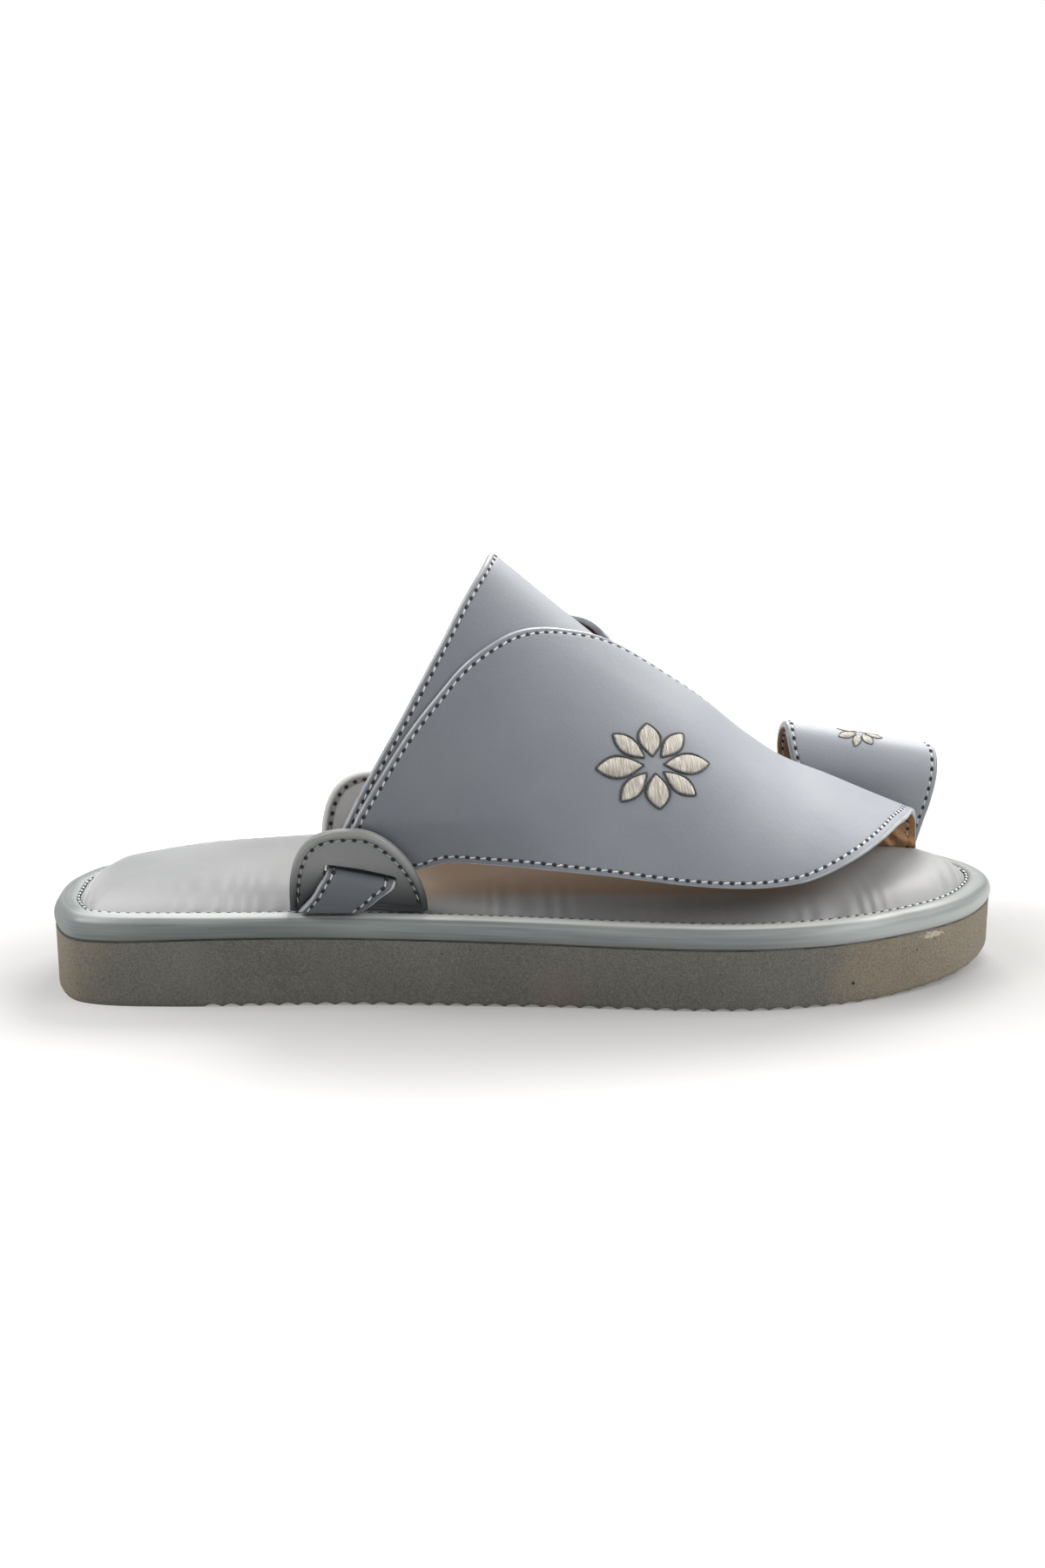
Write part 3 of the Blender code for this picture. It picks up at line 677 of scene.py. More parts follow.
def tail_ribs(ear):
    """Ribs of the strap end that goes through an ear's slot, from outside to inside."""
    ribs = []
    for row in STRAP_TAIL:
        along = row.x_rear + (row.x_front - row.x_rear) * RIB_SHARES
        rise = SLOT_RISE + row.rise + along * math.tan(SLOT_TILT) * row.slant
        ribs.append(ear_point(ear, ear.mid_x + SLOT_SHIFT + along, rise, row.out))
    return np.array(ribs)


def loop_ribs():
    """Ribs of the toe loop, with its feet set on the footbed."""
    ribs = []
    for row in TOE_LOOP:
        rear = np.array([row.x_rear, row.y_rear, row.z_rear or 0.0])
        front = np.array([row.x_front, row.y_front, row.z_front or 0.0])
        rib = rear + (front - rear) * RIB_SHARES[:, None]
        if row.z_rear is None:
            rib[:, 2] = footing_z(rib[:, 0], rib[:, 1])
        ribs.append(rib)
    return np.array(ribs)


class Signal:
    """A node's output in a material, with arithmetic that adds Math nodes."""

    def __init__(self, socket):
        self.socket = socket

    def node(self, kind, settings, sockets, output=0):
        """Another node of the same material: its settings are made first, then its sockets filled."""
        tree = self.socket.id_data
        made = tree.nodes.new(kind)
        for name, value in settings.items():
            setattr(made, name, value)
        for name, value in sockets.items():
            fill(made.inputs[name], value)
        return Signal(made.outputs[output])

    def math(self, operation, first, second):
        return self.node("ShaderNodeMath", {"operation": operation}, {0: first, 1: second})

    def __add__(self, other):
        return self.math("ADD", self, other)

    __radd__ = __add__

    def __sub__(self, other):
        return self.math("SUBTRACT", self, other)

    def __rsub__(self, other):
        return self.math("SUBTRACT", other, self)

    def __mul__(self, other):
        return self.math("MULTIPLY", self, other)

    __rmul__ = __mul__

    def between(self, low, high):
        """0 at low and under, 1 at high and over, smooth between."""
        settings = {"interpolation_type": "SMOOTHSTEP"}
        return self.node("ShaderNodeMapRange", settings, {"Value": self, "From Min": low, "From Max": high})

    def blend(self, low, high):
        """A colour, low where this value is 0 and high where it is 1."""
        settings = {"data_type": "RGBA"}
        return self.node("ShaderNodeMix", settings, {0: self, 6: colour(low), 7: colour(high)}, 2)

    def part(self, axis):
        """One coordinate of a vector."""
        return self.node("ShaderNodeSeparateXYZ", {}, {0: self}, axis)

    def scaled(self, sizes):
        """A vector with each coordinate multiplied."""
        return self.node("ShaderNodeVectorMath", {"operation": "MULTIPLY"}, {0: self, 1: sizes})

    def far_from(self, point):
        """Distance of a place from a point."""
        settings = {"operation": "DISTANCE"}
        return self.node("ShaderNodeVectorMath", settings, {0: self, 1: tuple(point)}, "Value")

    def noise(self, scale, detail=2.0, roughness=0.5):
        """Soft noise over these coordinates, about 0.5."""
        sockets = {"Vector": self, "Scale": scale, "Detail": detail, "Roughness": roughness}
        return self.node("ShaderNodeTexNoise", {}, sockets)

    def cells(self, scale):
        """Distance from the middle of the nearest of many scattered cells."""
        return self.node("ShaderNodeTexVoronoi", {}, {"Vector": self, "Scale": scale})


def fill(socket, value):
    """Give a socket a value, or link a signal to it."""
    if isinstance(value, Signal):
        socket.id_data.links.new(value.socket, socket)
    else:
        socket.default_value = value


def colour(value):
    """A colour as a signal or as four numbers."""
    return value if isinstance(value, Signal) else (*value, 1.0)


class Finish:
    """A material with one Principled shader, and the coordinates that its patterns read."""

    def __init__(self, name, **constants):
        self.material = bpy.data.materials.new(name)
        self.material.use_nodes = True
        tree = self.material.node_tree
        self.shader = tree.nodes["Principled BSDF"]
        coordinates = tree.nodes.new("ShaderNodeTexCoord")
        self.place = Signal(coordinates.outputs["Object"])
        self.uv = Signal(coordinates.outputs["UV"])
        for socket, value in constants.items():
            self.set(socket.replace("_", " ").title().replace("Ior", "IOR"), value)

    def set(self, socket, value):
        fill(self.shader.inputs[socket], value)
        return self

    def bump(self, height, depth):
        """Relief from a signal of about 0 to 1, that deep in metres."""
        sockets = {"Height": height, "Distance": depth, "Strength": 1.0}
        return self.set("Normal", height.node("ShaderNodeBump", {}, sockets))


def leather(name, dark, light, roughness, grain, **constants):
    """Smooth full-grain leather: cloudy colour, fine grain and a satin gloss that varies."""
    finish = Finish(name, **constants)
    cloud = finish.place.noise(26.0, 3.0)
    pores = finish.place.noise(2600.0, 2.0)
    finish.base = (cloud * 0.7 + pores * 0.3).between(*NOISE_SPAN).blend(dark, light)
    finish.set("Base Color", finish.base)
    finish.set("Roughness", cloud * 0.12 + pores * 0.1 + (roughness - 0.11))
    creases = finish.place.noise(420.0, 3.0, 0.6)
    swell = finish.place.noise(34.0, 2.0)
    return finish.bump(pores * 0.6 + creases * 0.4 + swell * 4.0, grain)


def slate_leather(name, dark, light):
    """Strap leather with painted shade: a little darker towards the heel, and darker still low on the strap
    ends in the ears.
    """
    finish = leather(name, dark, light, 0.55, 0.00015,
                     specular_ior_level=0.2, coat_weight=0.03, coat_roughness=0.45)
    x, z = finish.place.part(0), finish.place.part(2)
    # Painted shade: the leather darkens towards the heel
    heelward_shade = 1.0 - x.between(*STRAP_HEELWARD_X)
    plain = (heelward_shade * 0.3).blend(finish.base, (0.060, 0.066, 0.078))
    # Painted shade on the strap ends, low down where they sit in the ears
    tail_shade = (1.0 - x.between(*STRAP_SHADE_X)) * (1.0 - z.between(*STRAP_SHADE_Z))
    return finish.set("Base Color", (tail_shade * 0.65).blend(plain, (0.085, 0.094, 0.108)))


def pillow_leather():
    """Footbed leather with painted light: a painted highlight low on its heel wall, painted shade at the toe,
    and a painted brown reflection of the tan lining in the shade under the straps.
    """
    finish = leather("pillow_leather", (0.212, 0.219, 0.228), (0.254, 0.261, 0.270), 0.50, 0.00010,
                     specular_ior_level=0.3, coat_weight=0.12, coat_roughness=0.42)
    x, y, z = (finish.place.part(axis) for axis in range(3))
    # Painted brown reflection of the tan lining, in the shade under the straps
    under = x.between(*BROWN_REAR_X) * (1.0 - x.between(*BROWN_FRONT_X))
    under = under * y.between(*BROWN_OUTER_Y) * (1.0 - y.between(*BROWN_INNER_Y))
    # Painted highlight low on the heel wall
    wall = (1.0 - z.between(*PILLOW_LOW_Z)) * (1.0 - x.between(*PILLOW_HEEL_X))
    pale = wall.blend(finish.base, (0.350, 0.355, 0.372))
    # Painted shade towards the toe
    plain = (x.between(*PILLOW_TOE_X) * 0.3).blend(pale, (0.080, 0.078, 0.072))
    return finish.set("Base Color", (under * 0.9).blend(plain, (0.225, 0.166, 0.120)))


def ear_leather():
    """Ear leather with painted shade, darker towards its foot."""
    finish = leather("ear_leather", (0.172, 0.180, 0.177), (0.212, 0.220, 0.217), 0.48, 0.00012,
                     coat_weight=0.1, coat_roughness=0.32)
    # Painted shade: the ear darkens towards its foot
    unshaded = finish.place.part(2).between(*EAR_SHADE_Z)
    return finish.set("Base Color", unshaded.blend((0.022, 0.026, 0.029), finish.base))


def rim_leather():
    """Rolled rim: pale streaked leather with a soft gloss, painted shade on its top at the toe and near the
    heel tip, painted light low at the front, and a painted highlight along the inner edge on the lateral
    side.
    """
    finish = Finish("rim_leather", specular_ior_level=0.35, coat_roughness=0.42)
    streaks = finish.uv.scaled((0.03, 1.1, 0.0)).noise(1.0, 3.0)
    cloud = finish.place.noise(30.0, 2.0)
    tone = (streaks * 0.7 + cloud * 0.3).between(0.3, 0.72)
    pale = tone.blend((0.130, 0.152, 0.153), (0.202, 0.226, 0.226))
    x = finish.place.part(0)
    toe = x.between(*RIM_TOE_X)
    lateral = 1.0 - finish.place.part(1).between(*RIM_LATERAL_Y)
    heel = 1.0 - x.between(*RIM_HEEL_X)
    high = finish.uv.part(1).between(*RIM_HIGH)
    # Painted shade on the top at the toe and near the heel tip
    shade = toe * high * 0.55 + heel * x.between(*RIM_HEEL_TIP_X) * lateral * 0.3
    # Painted light low on the rim at the front
    front = x.between(*RIM_FRONT_X) * (1.0 - high)
    body = (front * 0.7).blend(shade.blend(pale, (0.060, 0.068, 0.066)), (0.400, 0.425, 0.420))
    # Painted highlight along the inner edge on the lateral side, weaker at the heel
    wear_and_painted_highlight = (finish.uv.part(1) + streaks * 0.8).between(*RIM_HIGHLIGHT) * lateral * (1.0 - toe)
    finish.set("Base Color", (wear_and_painted_highlight * (0.9 - heel * 0.35)).blend(body, (0.560, 0.580, 0.585)))
    finish.set("Roughness", streaks * 0.2 + 0.42 - lateral * 0.1)
    finish.set("Coat Weight", lateral * (1.0 - toe) * 0.22 + 0.05)
    pores = finish.place.noise(2400.0, 2.0)
    return finish.bump(streaks * 0.7 + pores * 0.3, 0.00012)


def flecked(name, scale, detail, dark, light, roughness, relief, **constants):
    """A finish that is a little uneven in tone, gloss and height."""
    finish = Finish(name, **constants)
    fleck = finish.place.noise(scale, detail)
    finish.set("Base Color", fleck.between(*NOISE_SPAN).blend(dark, light))
    finish.set("Roughness", fleck * 0.2 + roughness)
    return finish.bump(fleck, relief)


def edge_paint(name, dark, light):
    """Painted cut edge."""
    return flecked(name, 180.0, 3.0, dark, light, 0.38, 0.0002, coat_weight=0.2)


def tan_lining():
    """Tan lining leather: warm, matt, with pores and soft creases."""
    finish = Finish("tan_lining")
    cloud = finish.place.noise(45.0, 4.0)
    pores = finish.place.cells(900.0).between(0.0, 0.35)
    tone = cloud.between(0.28, 0.72).blend((0.222, 0.112, 0.050), (0.345, 0.192, 0.096))
    finish.set("Base Color", pores.blend((0.10, 0.06, 0.032), tone))
    finish.set("Roughness", cloud * 0.15 + 0.5)
    return finish.bump(pores * 0.5 + finish.place.noise(300.0, 3.0) * 0.5, 0.0002)


def foam():
    """Foam rubber: olive grey and fine grained, tan at both ends, with a glue smear by the toe."""
    finish = Finish("foam")
    blotch = finish.place.noise(60.0, 3.0)
    x = finish.place.part(0) + (blotch - 0.5) * 0.03
    ends = x.between(*FOAM_TOE_X) + (1.0 - x.between(*FOAM_HEEL_X))
    grain = finish.place.noise(1900.0, 3.0, 0.8)
    cloud = finish.place.noise(38.0, 4.0)
    tone = (cloud * 0.2 + grain * 0.8).between(0.34, 0.66)
    olive = tone.blend((0.080, 0.077, 0.066), (0.166, 0.161, 0.142))
    tan = tone.blend((0.118, 0.098, 0.069), (0.242, 0.209, 0.154))
    pink = 1.0 - finish.place.far_from(FOAM_TINT).between(*TINT_REACH)
    body = (pink * 0.35).blend((ends * 0.85).blend(olive, tan), (0.155, 0.100, 0.098))
    spread = finish.place.scaled((1.0, 1.0, SMEAR_FLATNESS))
    near = 1.0 - spread.far_from(FOAM_SMEAR).between(*SMEAR_REACH)
    ragged = finish.place.scaled((1.0, 1.0, RAG_FLATNESS)).noise(420.0, 3.0, 0.7)
    streak = (near * 0.45 + ragged * 0.9).between(*SMEAR_EDGE)
    finish.set("Base Color", (streak * 0.75).blend(body, (0.43, 0.39, 0.32)))
    finish.set("Roughness", cloud * 0.1 + 0.8)
    return finish.bump(grain, 0.00025)


def thread(name, dark, light):
    """Twisted thread."""
    return flecked(name, 2200.0, 1.0, dark, light, 0.45, 0.00015)


def mottled(name, scale, dark, light, roughness):
    """A dull dark finish with a cloudy tone, for glue, and for the painted shade of needle holes and foam
    pits.
    """
    finish = Finish(name, roughness=roughness)
    return finish.set("Base Color", finish.place.noise(scale).blend(dark, light))


def satin_thread():
    """Cream satin stitch: fine threads side by side across the motif."""
    finish = Finish("satin_thread")
    across = finish.uv.scaled((2.6, 0.16, 0.0)).noise(1.0, 2.0, 0.6)
    fine = finish.uv.scaled((4.8, 0.3, 0.0)).noise(1.0, 1.0)
    tone = (across * 0.6 + fine * 0.4).between(0.32, 0.66)
    finish.set("Base Color", tone.blend((0.225, 0.203, 0.172), (0.590, 0.557, 0.500)))
    finish.set("Roughness", fine * 0.2 + 0.4)
    return finish.bump(tone, 0.0003)


def dark_cord():
    """Dark grey outline thread."""
    finish = Finish("dark_cord", roughness=0.7)
    twist = finish.place.noise(1800.0, 2.0)
    finish.set("Base Color", twist.between(*NOISE_SPAN).blend((0.012, 0.014, 0.016), (0.050, 0.053, 0.058)))
    return finish.bump(twist, 0.0002)


SLATE = slate_leather("slate_leather", (0.166, 0.180, 0.205), (0.198, 0.212, 0.237)).material
# Painted light: the toe ring's leather is a paler copy of the strap leather
RING_SLATE_LIT = slate_leather("ring_leather_painted_light", (0.214, 0.230, 0.257), (0.250, 0.266, 0.293)).material
PILLOW = pillow_leather().material
EAR_GREY = ear_leather().material
# Painted light: the ears' lining is a paler copy of their leather
EAR_LINING_LIT = leather("ear_lining_painted_light", (0.470, 0.474, 0.474), (0.540, 0.544, 0.544), 0.5, 0.00012).material
RIM = rim_leather().material
# The shoulder's paint is paler than the cut face's: partly worn paint, partly a painted highlight
EDGE_SHOULDER = edge_paint("edge_shoulder", (0.235, 0.250, 0.270), (0.330, 0.345, 0.365)).material
EDGE_SIDE = edge_paint("edge_side", (0.150, 0.163, 0.180), (0.210, 0.225, 0.245)).material
TAN = tan_lining().material
FOAM = foam().material
THREAD = thread("pale_thread", (0.40, 0.42, 0.44), (0.60, 0.62, 0.63)).material
LINING_THREAD = thread("tan_thread", (0.40, 0.28, 0.17), (0.60, 0.45, 0.31)).material
EAR_THREAD = thread("grey_thread", (0.26, 0.29, 0.28), (0.46, 0.49, 0.48)).material
# Painted shade: needle holes and foam pits are dark beads on the surface, not cut into it
HOLE_SHADE = mottled("needle_hole_shade", 900.0, (0.006, 0.007, 0.009), (0.016, 0.017, 0.020), 0.8).material
SATIN = satin_thread().material
CORD = dark_cord().material
GLUE = mottled("glue", 260.0, (0.030, 0.028, 0.022), (0.095, 0.086, 0.070), 0.55).material
STRAP_MATERIALS = [SLATE, EDGE_SHOULDER, EDGE_SIDE, TAN]
# Painted shade: the toe ring's edge shoulders take the darker paint of the cut face
RING_MATERIALS = [RING_SLATE_LIT, EDGE_SIDE, EDGE_SIDE, TAN]


def mesh_of(name, form):
    """A mesh made from a bmesh, which is then freed."""
    mesh = bpy.data.meshes.new(name)
    form.to_mesh(mesh)
    form.free()
    return mesh


def add_object(name, data):
    """An object added to the scene."""
    made = bpy.data.objects.new(name, data)
    bpy.context.scene.collection.objects.link(made)
    return made


def finish_piece(name, form, materials, stands_for=None):
    """A bmesh as a named piece of the shoe: closed, smooth, facing out, riding on the one body."""
    bmesh.ops.remove_doubles(form, verts=form.verts, dist=WELD)
    bmesh.ops.recalc_face_normals(form, faces=form.faces)
    for face in form.faces:
        face.smooth = True
    made = add_object(name, mesh_of(name, form))
    for material in materials:
        made.data.materials.append(material)
    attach(made, "root")
    if stands_for:
        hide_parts(stands_for)
    return made


def bend_grid(form, points, uv, zones=None):
    """Add a grid bent to table points. uv is in millimetres, and zones gives each row of faces a material."""
    columns, rows = points.shape[:2]
    layer = form.loops.layers.uv.verify()
    flat = place(points).transpose(1, 0, 2).reshape(-1, 3)
    marks = uv.transpose(1, 0, 2).reshape(-1, 2)
    made = bmesh.ops.create_grid(form, x_segments=columns - 1, y_segments=rows - 1, size=1.0)
    number = {}
    faces = set()
    for k, vert in enumerate(made["verts"]):
        vert.co = flat[k]
        number[vert] = k
        faces.update(vert.link_faces)
    for face in faces:
        for loop in face.loops:
            loop[layer].uv = marks[number[loop.vert]]
        if zones is not None:
            face.material_index = zones[min(number[vert] for vert in face.verts) // columns]


def bent_piece(name, points, uv, materials, stands_for=None, zones=None):
    """A piece made of one grid bent to table points."""
    form = bmesh.new()
    bend_grid(form, points, uv, zones)
    return finish_piece(name, form, materials, stands_for)


def smooth_ribs(ribs, spacing):
    """Ribs set evenly along the smooth surface through the given ribs."""
    steps = np.linalg.norm(np.diff(ribs, axis=0), axis=-1).mean(axis=1)
    knots = np.concatenate([[0.0], np.cumsum(steps)])
    count = int(knots[-1] / spacing)
    return curve_through(knots, ribs, np.linspace(0.0, knots[-1], count + 1))


Sheet = namedtuple("Sheet", "ribs normals widths thick")


def new_sheet(ribs, thick, closed=False):
    """A leather sheet's lining surface, its outward directions and its width at each rib."""
    if closed:
        along = np.roll(ribs, -1, axis=0) - np.roll(ribs, 1, axis=0)
    else:
        along = np.gradient(ribs, axis=0)
    across = np.gradient(ribs, axis=1)
    widths = np.linalg.norm(np.diff(ribs, axis=1), axis=-1).sum(axis=1)
    return Sheet(ribs, unit(np.cross(across, along)), widths, thick)


def sheet_points(sheet, insets, heights):
    """Points and directions on a sheet, at insets from its first edge and at heights, a row for each rib."""
    points = np.empty(insets.shape + (3,))
    normals = np.empty_like(points)
    for k, width in enumerate(sheet.widths):
        at = insets[k] / width
        points[k] = curve_through(RIB_SHARES, sheet.ribs[k], at)
        normals[k] = unit(curve_through(RIB_SHARES, sheet.normals[k], at))
    return points + normals * heights[..., None], normals


def trough(away, depth=TROUGH_DEPTH):
    """How far stitches pull the leather in, at a distance from their row."""
    return depth * np.exp(-(away / TROUGH_WIDTH) ** 2)


def flat_face(inset, far_inset):
    """A face with a stitched trough along both edges."""
    return -trough(inset - STITCH_INSET) - trough(far_inset - STITCH_INSET)


def hem_face(inset, far_inset):
    """A face whose far edge is a hem, stitched further in and less tightly."""
    return -trough(inset - STITCH_INSET) - trough(far_inset - HEM_INSET, HEM_TROUGH)


def ear_face(inset, far_inset):
    """An ear's face: rolled edge, then a trough along the stitches."""
    roll = EAR_ROLL * np.exp(-((inset - EAR_ROLL_INSET) / EAR_ROLL_WIDTH) ** 2)
    return roll - trough(inset - EAR_STITCH_INSET)


def lining_creases(points):
    """How far the lining's creases stand out at points, in side view."""
    out = np.zeros(points.shape[:-1])
    for crease in LINING_CREASES:
        start = np.array([crease.x_from, crease.z_from])
        run = np.array([crease.x_to, crease.z_to]) - start
        here = points[..., (0, 2)] - start
        share = np.clip(here @ run / (run @ run), 0.0, 1.0)
        away = np.linalg.norm(here - share[..., None] * run, axis=-1)
        out += crease.height * np.exp(-(away / crease.width) ** 2) * np.sin(np.pi * share) ** 0.5
    return out


def build_sheet(name, sheet, relief, materials, stands_for, closed=False, creases=None):
    """A closed leather piece from a sheet: outer face, cut edges and lining."""
    middle = np.linspace(0.0, 1.0, FACE_MIDDLE + 2)[1:-1]
    edge = FACE_INSETS[-1]
    face = [(inset, 0.0) for inset in FACE_INSETS]
    face += [(edge * (1 - 2 * share), share) for share in middle]
    face += [(-inset, 1.0) for inset in FACE_INSETS[::-1]]
    rows = [(fixed, share, 1.0) for fixed, share in face]
    rows += [(-point.inset, 1.0, point.height) for point in EDGE_TURN]
    rows += [(fixed, share, 0.0) for fixed, share in face[::-1]]
    rows += [(point.inset, 0.0, point.height) for point in EDGE_TURN[::-1]]
    rows.append(rows[0])
    zones = [0] * len(face) + EDGE_ZONES + [3] * (len(face) + 1) + EDGE_ZONES[::-1] + [0]
    fixed, share, height = np.array(rows).T
    squeeze = np.minimum(1.0, sheet.widths / (2 * edge + FACE_LEAST))[:, None]
    insets = fixed * squeeze + share * sheet.widths[:, None]
    far = sheet.widths[:, None] - insets
    ends = np.ones(len(sheet.ribs))
    if not closed:
        travel = lengths_along(sheet.ribs.mean(axis=1))
        near_end = np.clip(np.minimum(travel, travel[-1] - travel) / END_ROUND, 0.0, 1.0)
        ends = np.sqrt(1 - (1 - near_end) ** 2)
    outer = sheet.thick * height + relief(insets, far) * (height - 0.5) * 2 * np.isin(height, (0.0, 1.0))
    heights = sheet.thick / 2 + (outer - sheet.thick / 2) * ends[:, None]
    points, normals = sheet_points(sheet, insets, heights)
    if creases:
        points -= normals * (creases(points) * (height == 0.0))[..., None]
    travel = lengths_along(sheet.ribs[:, 0])
    uv = np.stack(np.broadcast_arrays(travel[:, None], insets), -1)
    if closed:
        points = np.concatenate([points, points[:1]])
        uv = np.concatenate([uv, uv[-1:]])
    return bent_piece(name, points, uv, materials, stands_for, zones)


def sheet_edge(sheet, inset, far_edge, lining=False, depth=TROUGH_DEPTH):
    """Path along a sheet at an inset from an edge, on its face or on its lining, with outward directions."""
    insets = sheet.widths[:, None] - inset if far_edge else np.full((len(sheet.widths), 1), inset)
    height = depth if lining else sheet.thick - depth
    points, normals = sheet_points(sheet, insets, np.full(insets.shape, height))
    return points[:, 0], normals[:, 0] * (-1.0 if lining else 1.0)


def even_path(path, normals, pitch, start, end):
    """Places at a pitch along a path, with directions out of the surface and along the path."""
    travel = lengths_along(path)
    at = np.arange(start, travel[-1] - end, pitch)
    points = values_along(travel, path, at)
    outs = unit(values_along(travel, normals, at))
    alongs = values_along(travel, path, at + PATH_PROBE) - points
    alongs -= outs * np.sum(alongs * outs, axis=-1, keepdims=True)
    good = np.linalg.norm(alongs, axis=-1) > TINY
    return points[good], outs[good], unit(alongs[good])


def bead_mesh(material):
    """A round bead of unit size and a few dozen faces, to be stretched into a stitch or a needle hole."""
    form = bmesh.new()
    bmesh.ops.create_uvsphere(form, u_segments=BEAD_SIDES, v_segments=BEAD_RINGS, radius=0.5)
    for face in form.faces:
        face.material_index = material
    return mesh_of("bead", form)


THREAD_BEAD = bead_mesh(0)
HOLE_BEAD = bead_mesh(1)


def add_bead(form, bead, point, out, along, size):
    """Add a bead at a point, as long, wide and high as size says."""
    axes = Matrix((along, np.cross(out, along), out)).transposed().to_4x4()
    axes.translation = Vector(place(point))
    mesh = bead.copy()
    mesh.transform(axes @ Matrix.Diagonal((*(np.array(size) * MM), 1.0)))
    form.from_mesh(mesh)
    bpy.data.meshes.remove(mesh)


def stitch_rows(name, paths, pitch=STITCH_PITCH, length=STITCH_LENGTH, width=STITCH_WIDTH,
                start=STITCH_START, yarn=THREAD):
    """Rows of slanted thread bars with a needle hole between each two, a dark bead of painted shade."""
    form = bmesh.new()
    for path, normals in paths:
        for point, out, along in zip(*even_path(path, normals, pitch, start, start)):
            slant = unit(along + np.cross(out, along) * STITCH_SLANT)
            add_bead(form, THREAD_BEAD, point + out * THREAD_LIFT, out, slant, (length, width, STITCH_HEIGHT))
            hole = point + along * pitch / 2 + out * HOLE_LIFT
            add_bead(form, HOLE_BEAD, hole, out, along, (HOLE_LENGTH, HOLE_WIDTH, HOLE_HEIGHT))
    finish_piece(name, form, [yarn, HOLE_SHADE])


def motif_on(piece, spot, facing, scale):
    """Lays a flat motif on a piece: points about its middle, in millimetres, are dropped along facing."""
    tree = BVHTree.FromObject(piece, bpy.context.evaluated_depsgraph_get())
    facing = unit(np.array(facing))
    right = unit(np.cross((0.0, 0.0, 1.0), facing))
    up = np.cross(facing, right)
    shift = place((0.0, 0.0, 0.0))

    def on_face(flat, height):
        across = (right * flat[..., :1] + up * flat[..., 1:]) * scale
        starts = place(spot) + (across + facing * MOTIF_DROP) * MM
        points = np.empty_like(starts)
        for at in np.ndindex(starts.shape[:-1]):
            hit, out, _, _ = tree.ray_cast(Vector(starts[at]), Vector(-facing))
            points[at] = np.array(hit + out * height[at] * scale * MM)
        return points / MM - shift / MM

    return on_face


def leaf_outline(leaf, along, side):
    """Flat place on a leaf: along from its stem to its tip, side from -1 to 1 across it."""
    turn = math.radians(leaf.turn)
    reach = leaf.start + (leaf.end - leaf.start) * along
    width = leaf.half * np.sin(np.pi * along ** LEAF_LEAN) ** LEAF_FULLNESS * side
    x = reach * math.cos(turn) - width * math.sin(turn)
    y = reach * math.sin(turn) + width * math.cos(turn)
    return np.stack([x, y], -1)


def build_rosette(piece, motif):
    """Embroidered leaf rosette: padded satin leaves, each with a dark cord round it."""
    on_face = motif_on(piece, motif.spot, motif.facing, motif.scale)
    leaves = bmesh.new()
    cords = bmesh.new()
    steps = np.linspace(0.0, 1.0, LEAF_STEPS)
    along, side = np.meshgrid(steps, np.linspace(-1.0, 1.0, LEAF_ACROSS), indexing="ij")
    crown = np.sqrt(np.maximum(1 - side ** 2, 0.0)) * np.sin(np.pi * along) ** LEAF_BLUNTNESS
    rise = LEAF_RISE * crown - LEAF_SINK
    lap = np.linspace(0.0, 2.0, CORD_STEPS)
    there = np.where(lap < 1.0, lap, 2.0 - lap)
    beside = np.where(lap < 1.0, CORD_SPREAD, -CORD_SPREAD)
    for leaf in ROSETTE:
        flat = leaf_outline(leaf, along, side)
        bend_grid(leaves, on_face(flat, rise), flat)
        line = on_face(leaf_outline(leaf, there, beside), np.full(CORD_STEPS, CORD_RISE))
        tube(cords, line, CORD_RADIUS * motif.scale)
    finish_piece(motif.name + "_leaves", leaves, [SATIN])
    finish_piece(motif.name + "_outline", cords, [CORD])


def tube(form, line, radius):
    """A thin closed cord along a line that comes back to its start."""
    ahead = unit(np.roll(line, -1, axis=0) - np.roll(line, 1, axis=0) + TINY)
    first = unit(np.cross(ahead, CORD_ASIDE))
    second = np.cross(ahead, first)
    angles = np.linspace(0.0, 2 * math.pi, CORD_SIDES + 1)
    spokes = first[:, None] * np.cos(angles)[:, None] + second[:, None] * np.sin(angles)[:, None]
    rings = line[:, None] + radius * spokes
    bend_grid(form, rings, np.zeros(rings.shape[:2] + (2,)))


def rim_line(inset):
    """The closed line round the sole at an inset from its outline: places, inward directions and travel."""
    edge, inward = sole_outline(RIM_POINTS)
    edge = np.concatenate([edge, edge[:1]])
    inward = np.concatenate([inward, inward[:1]])
    line = edge + inward * inset
    return line, inward, lengths_along(line)


def seam_count():
    """How many stitches go round the footbed seam."""
    return int(rim_line(SEAM_INSET)[2][-1] / SEAM_PITCH)


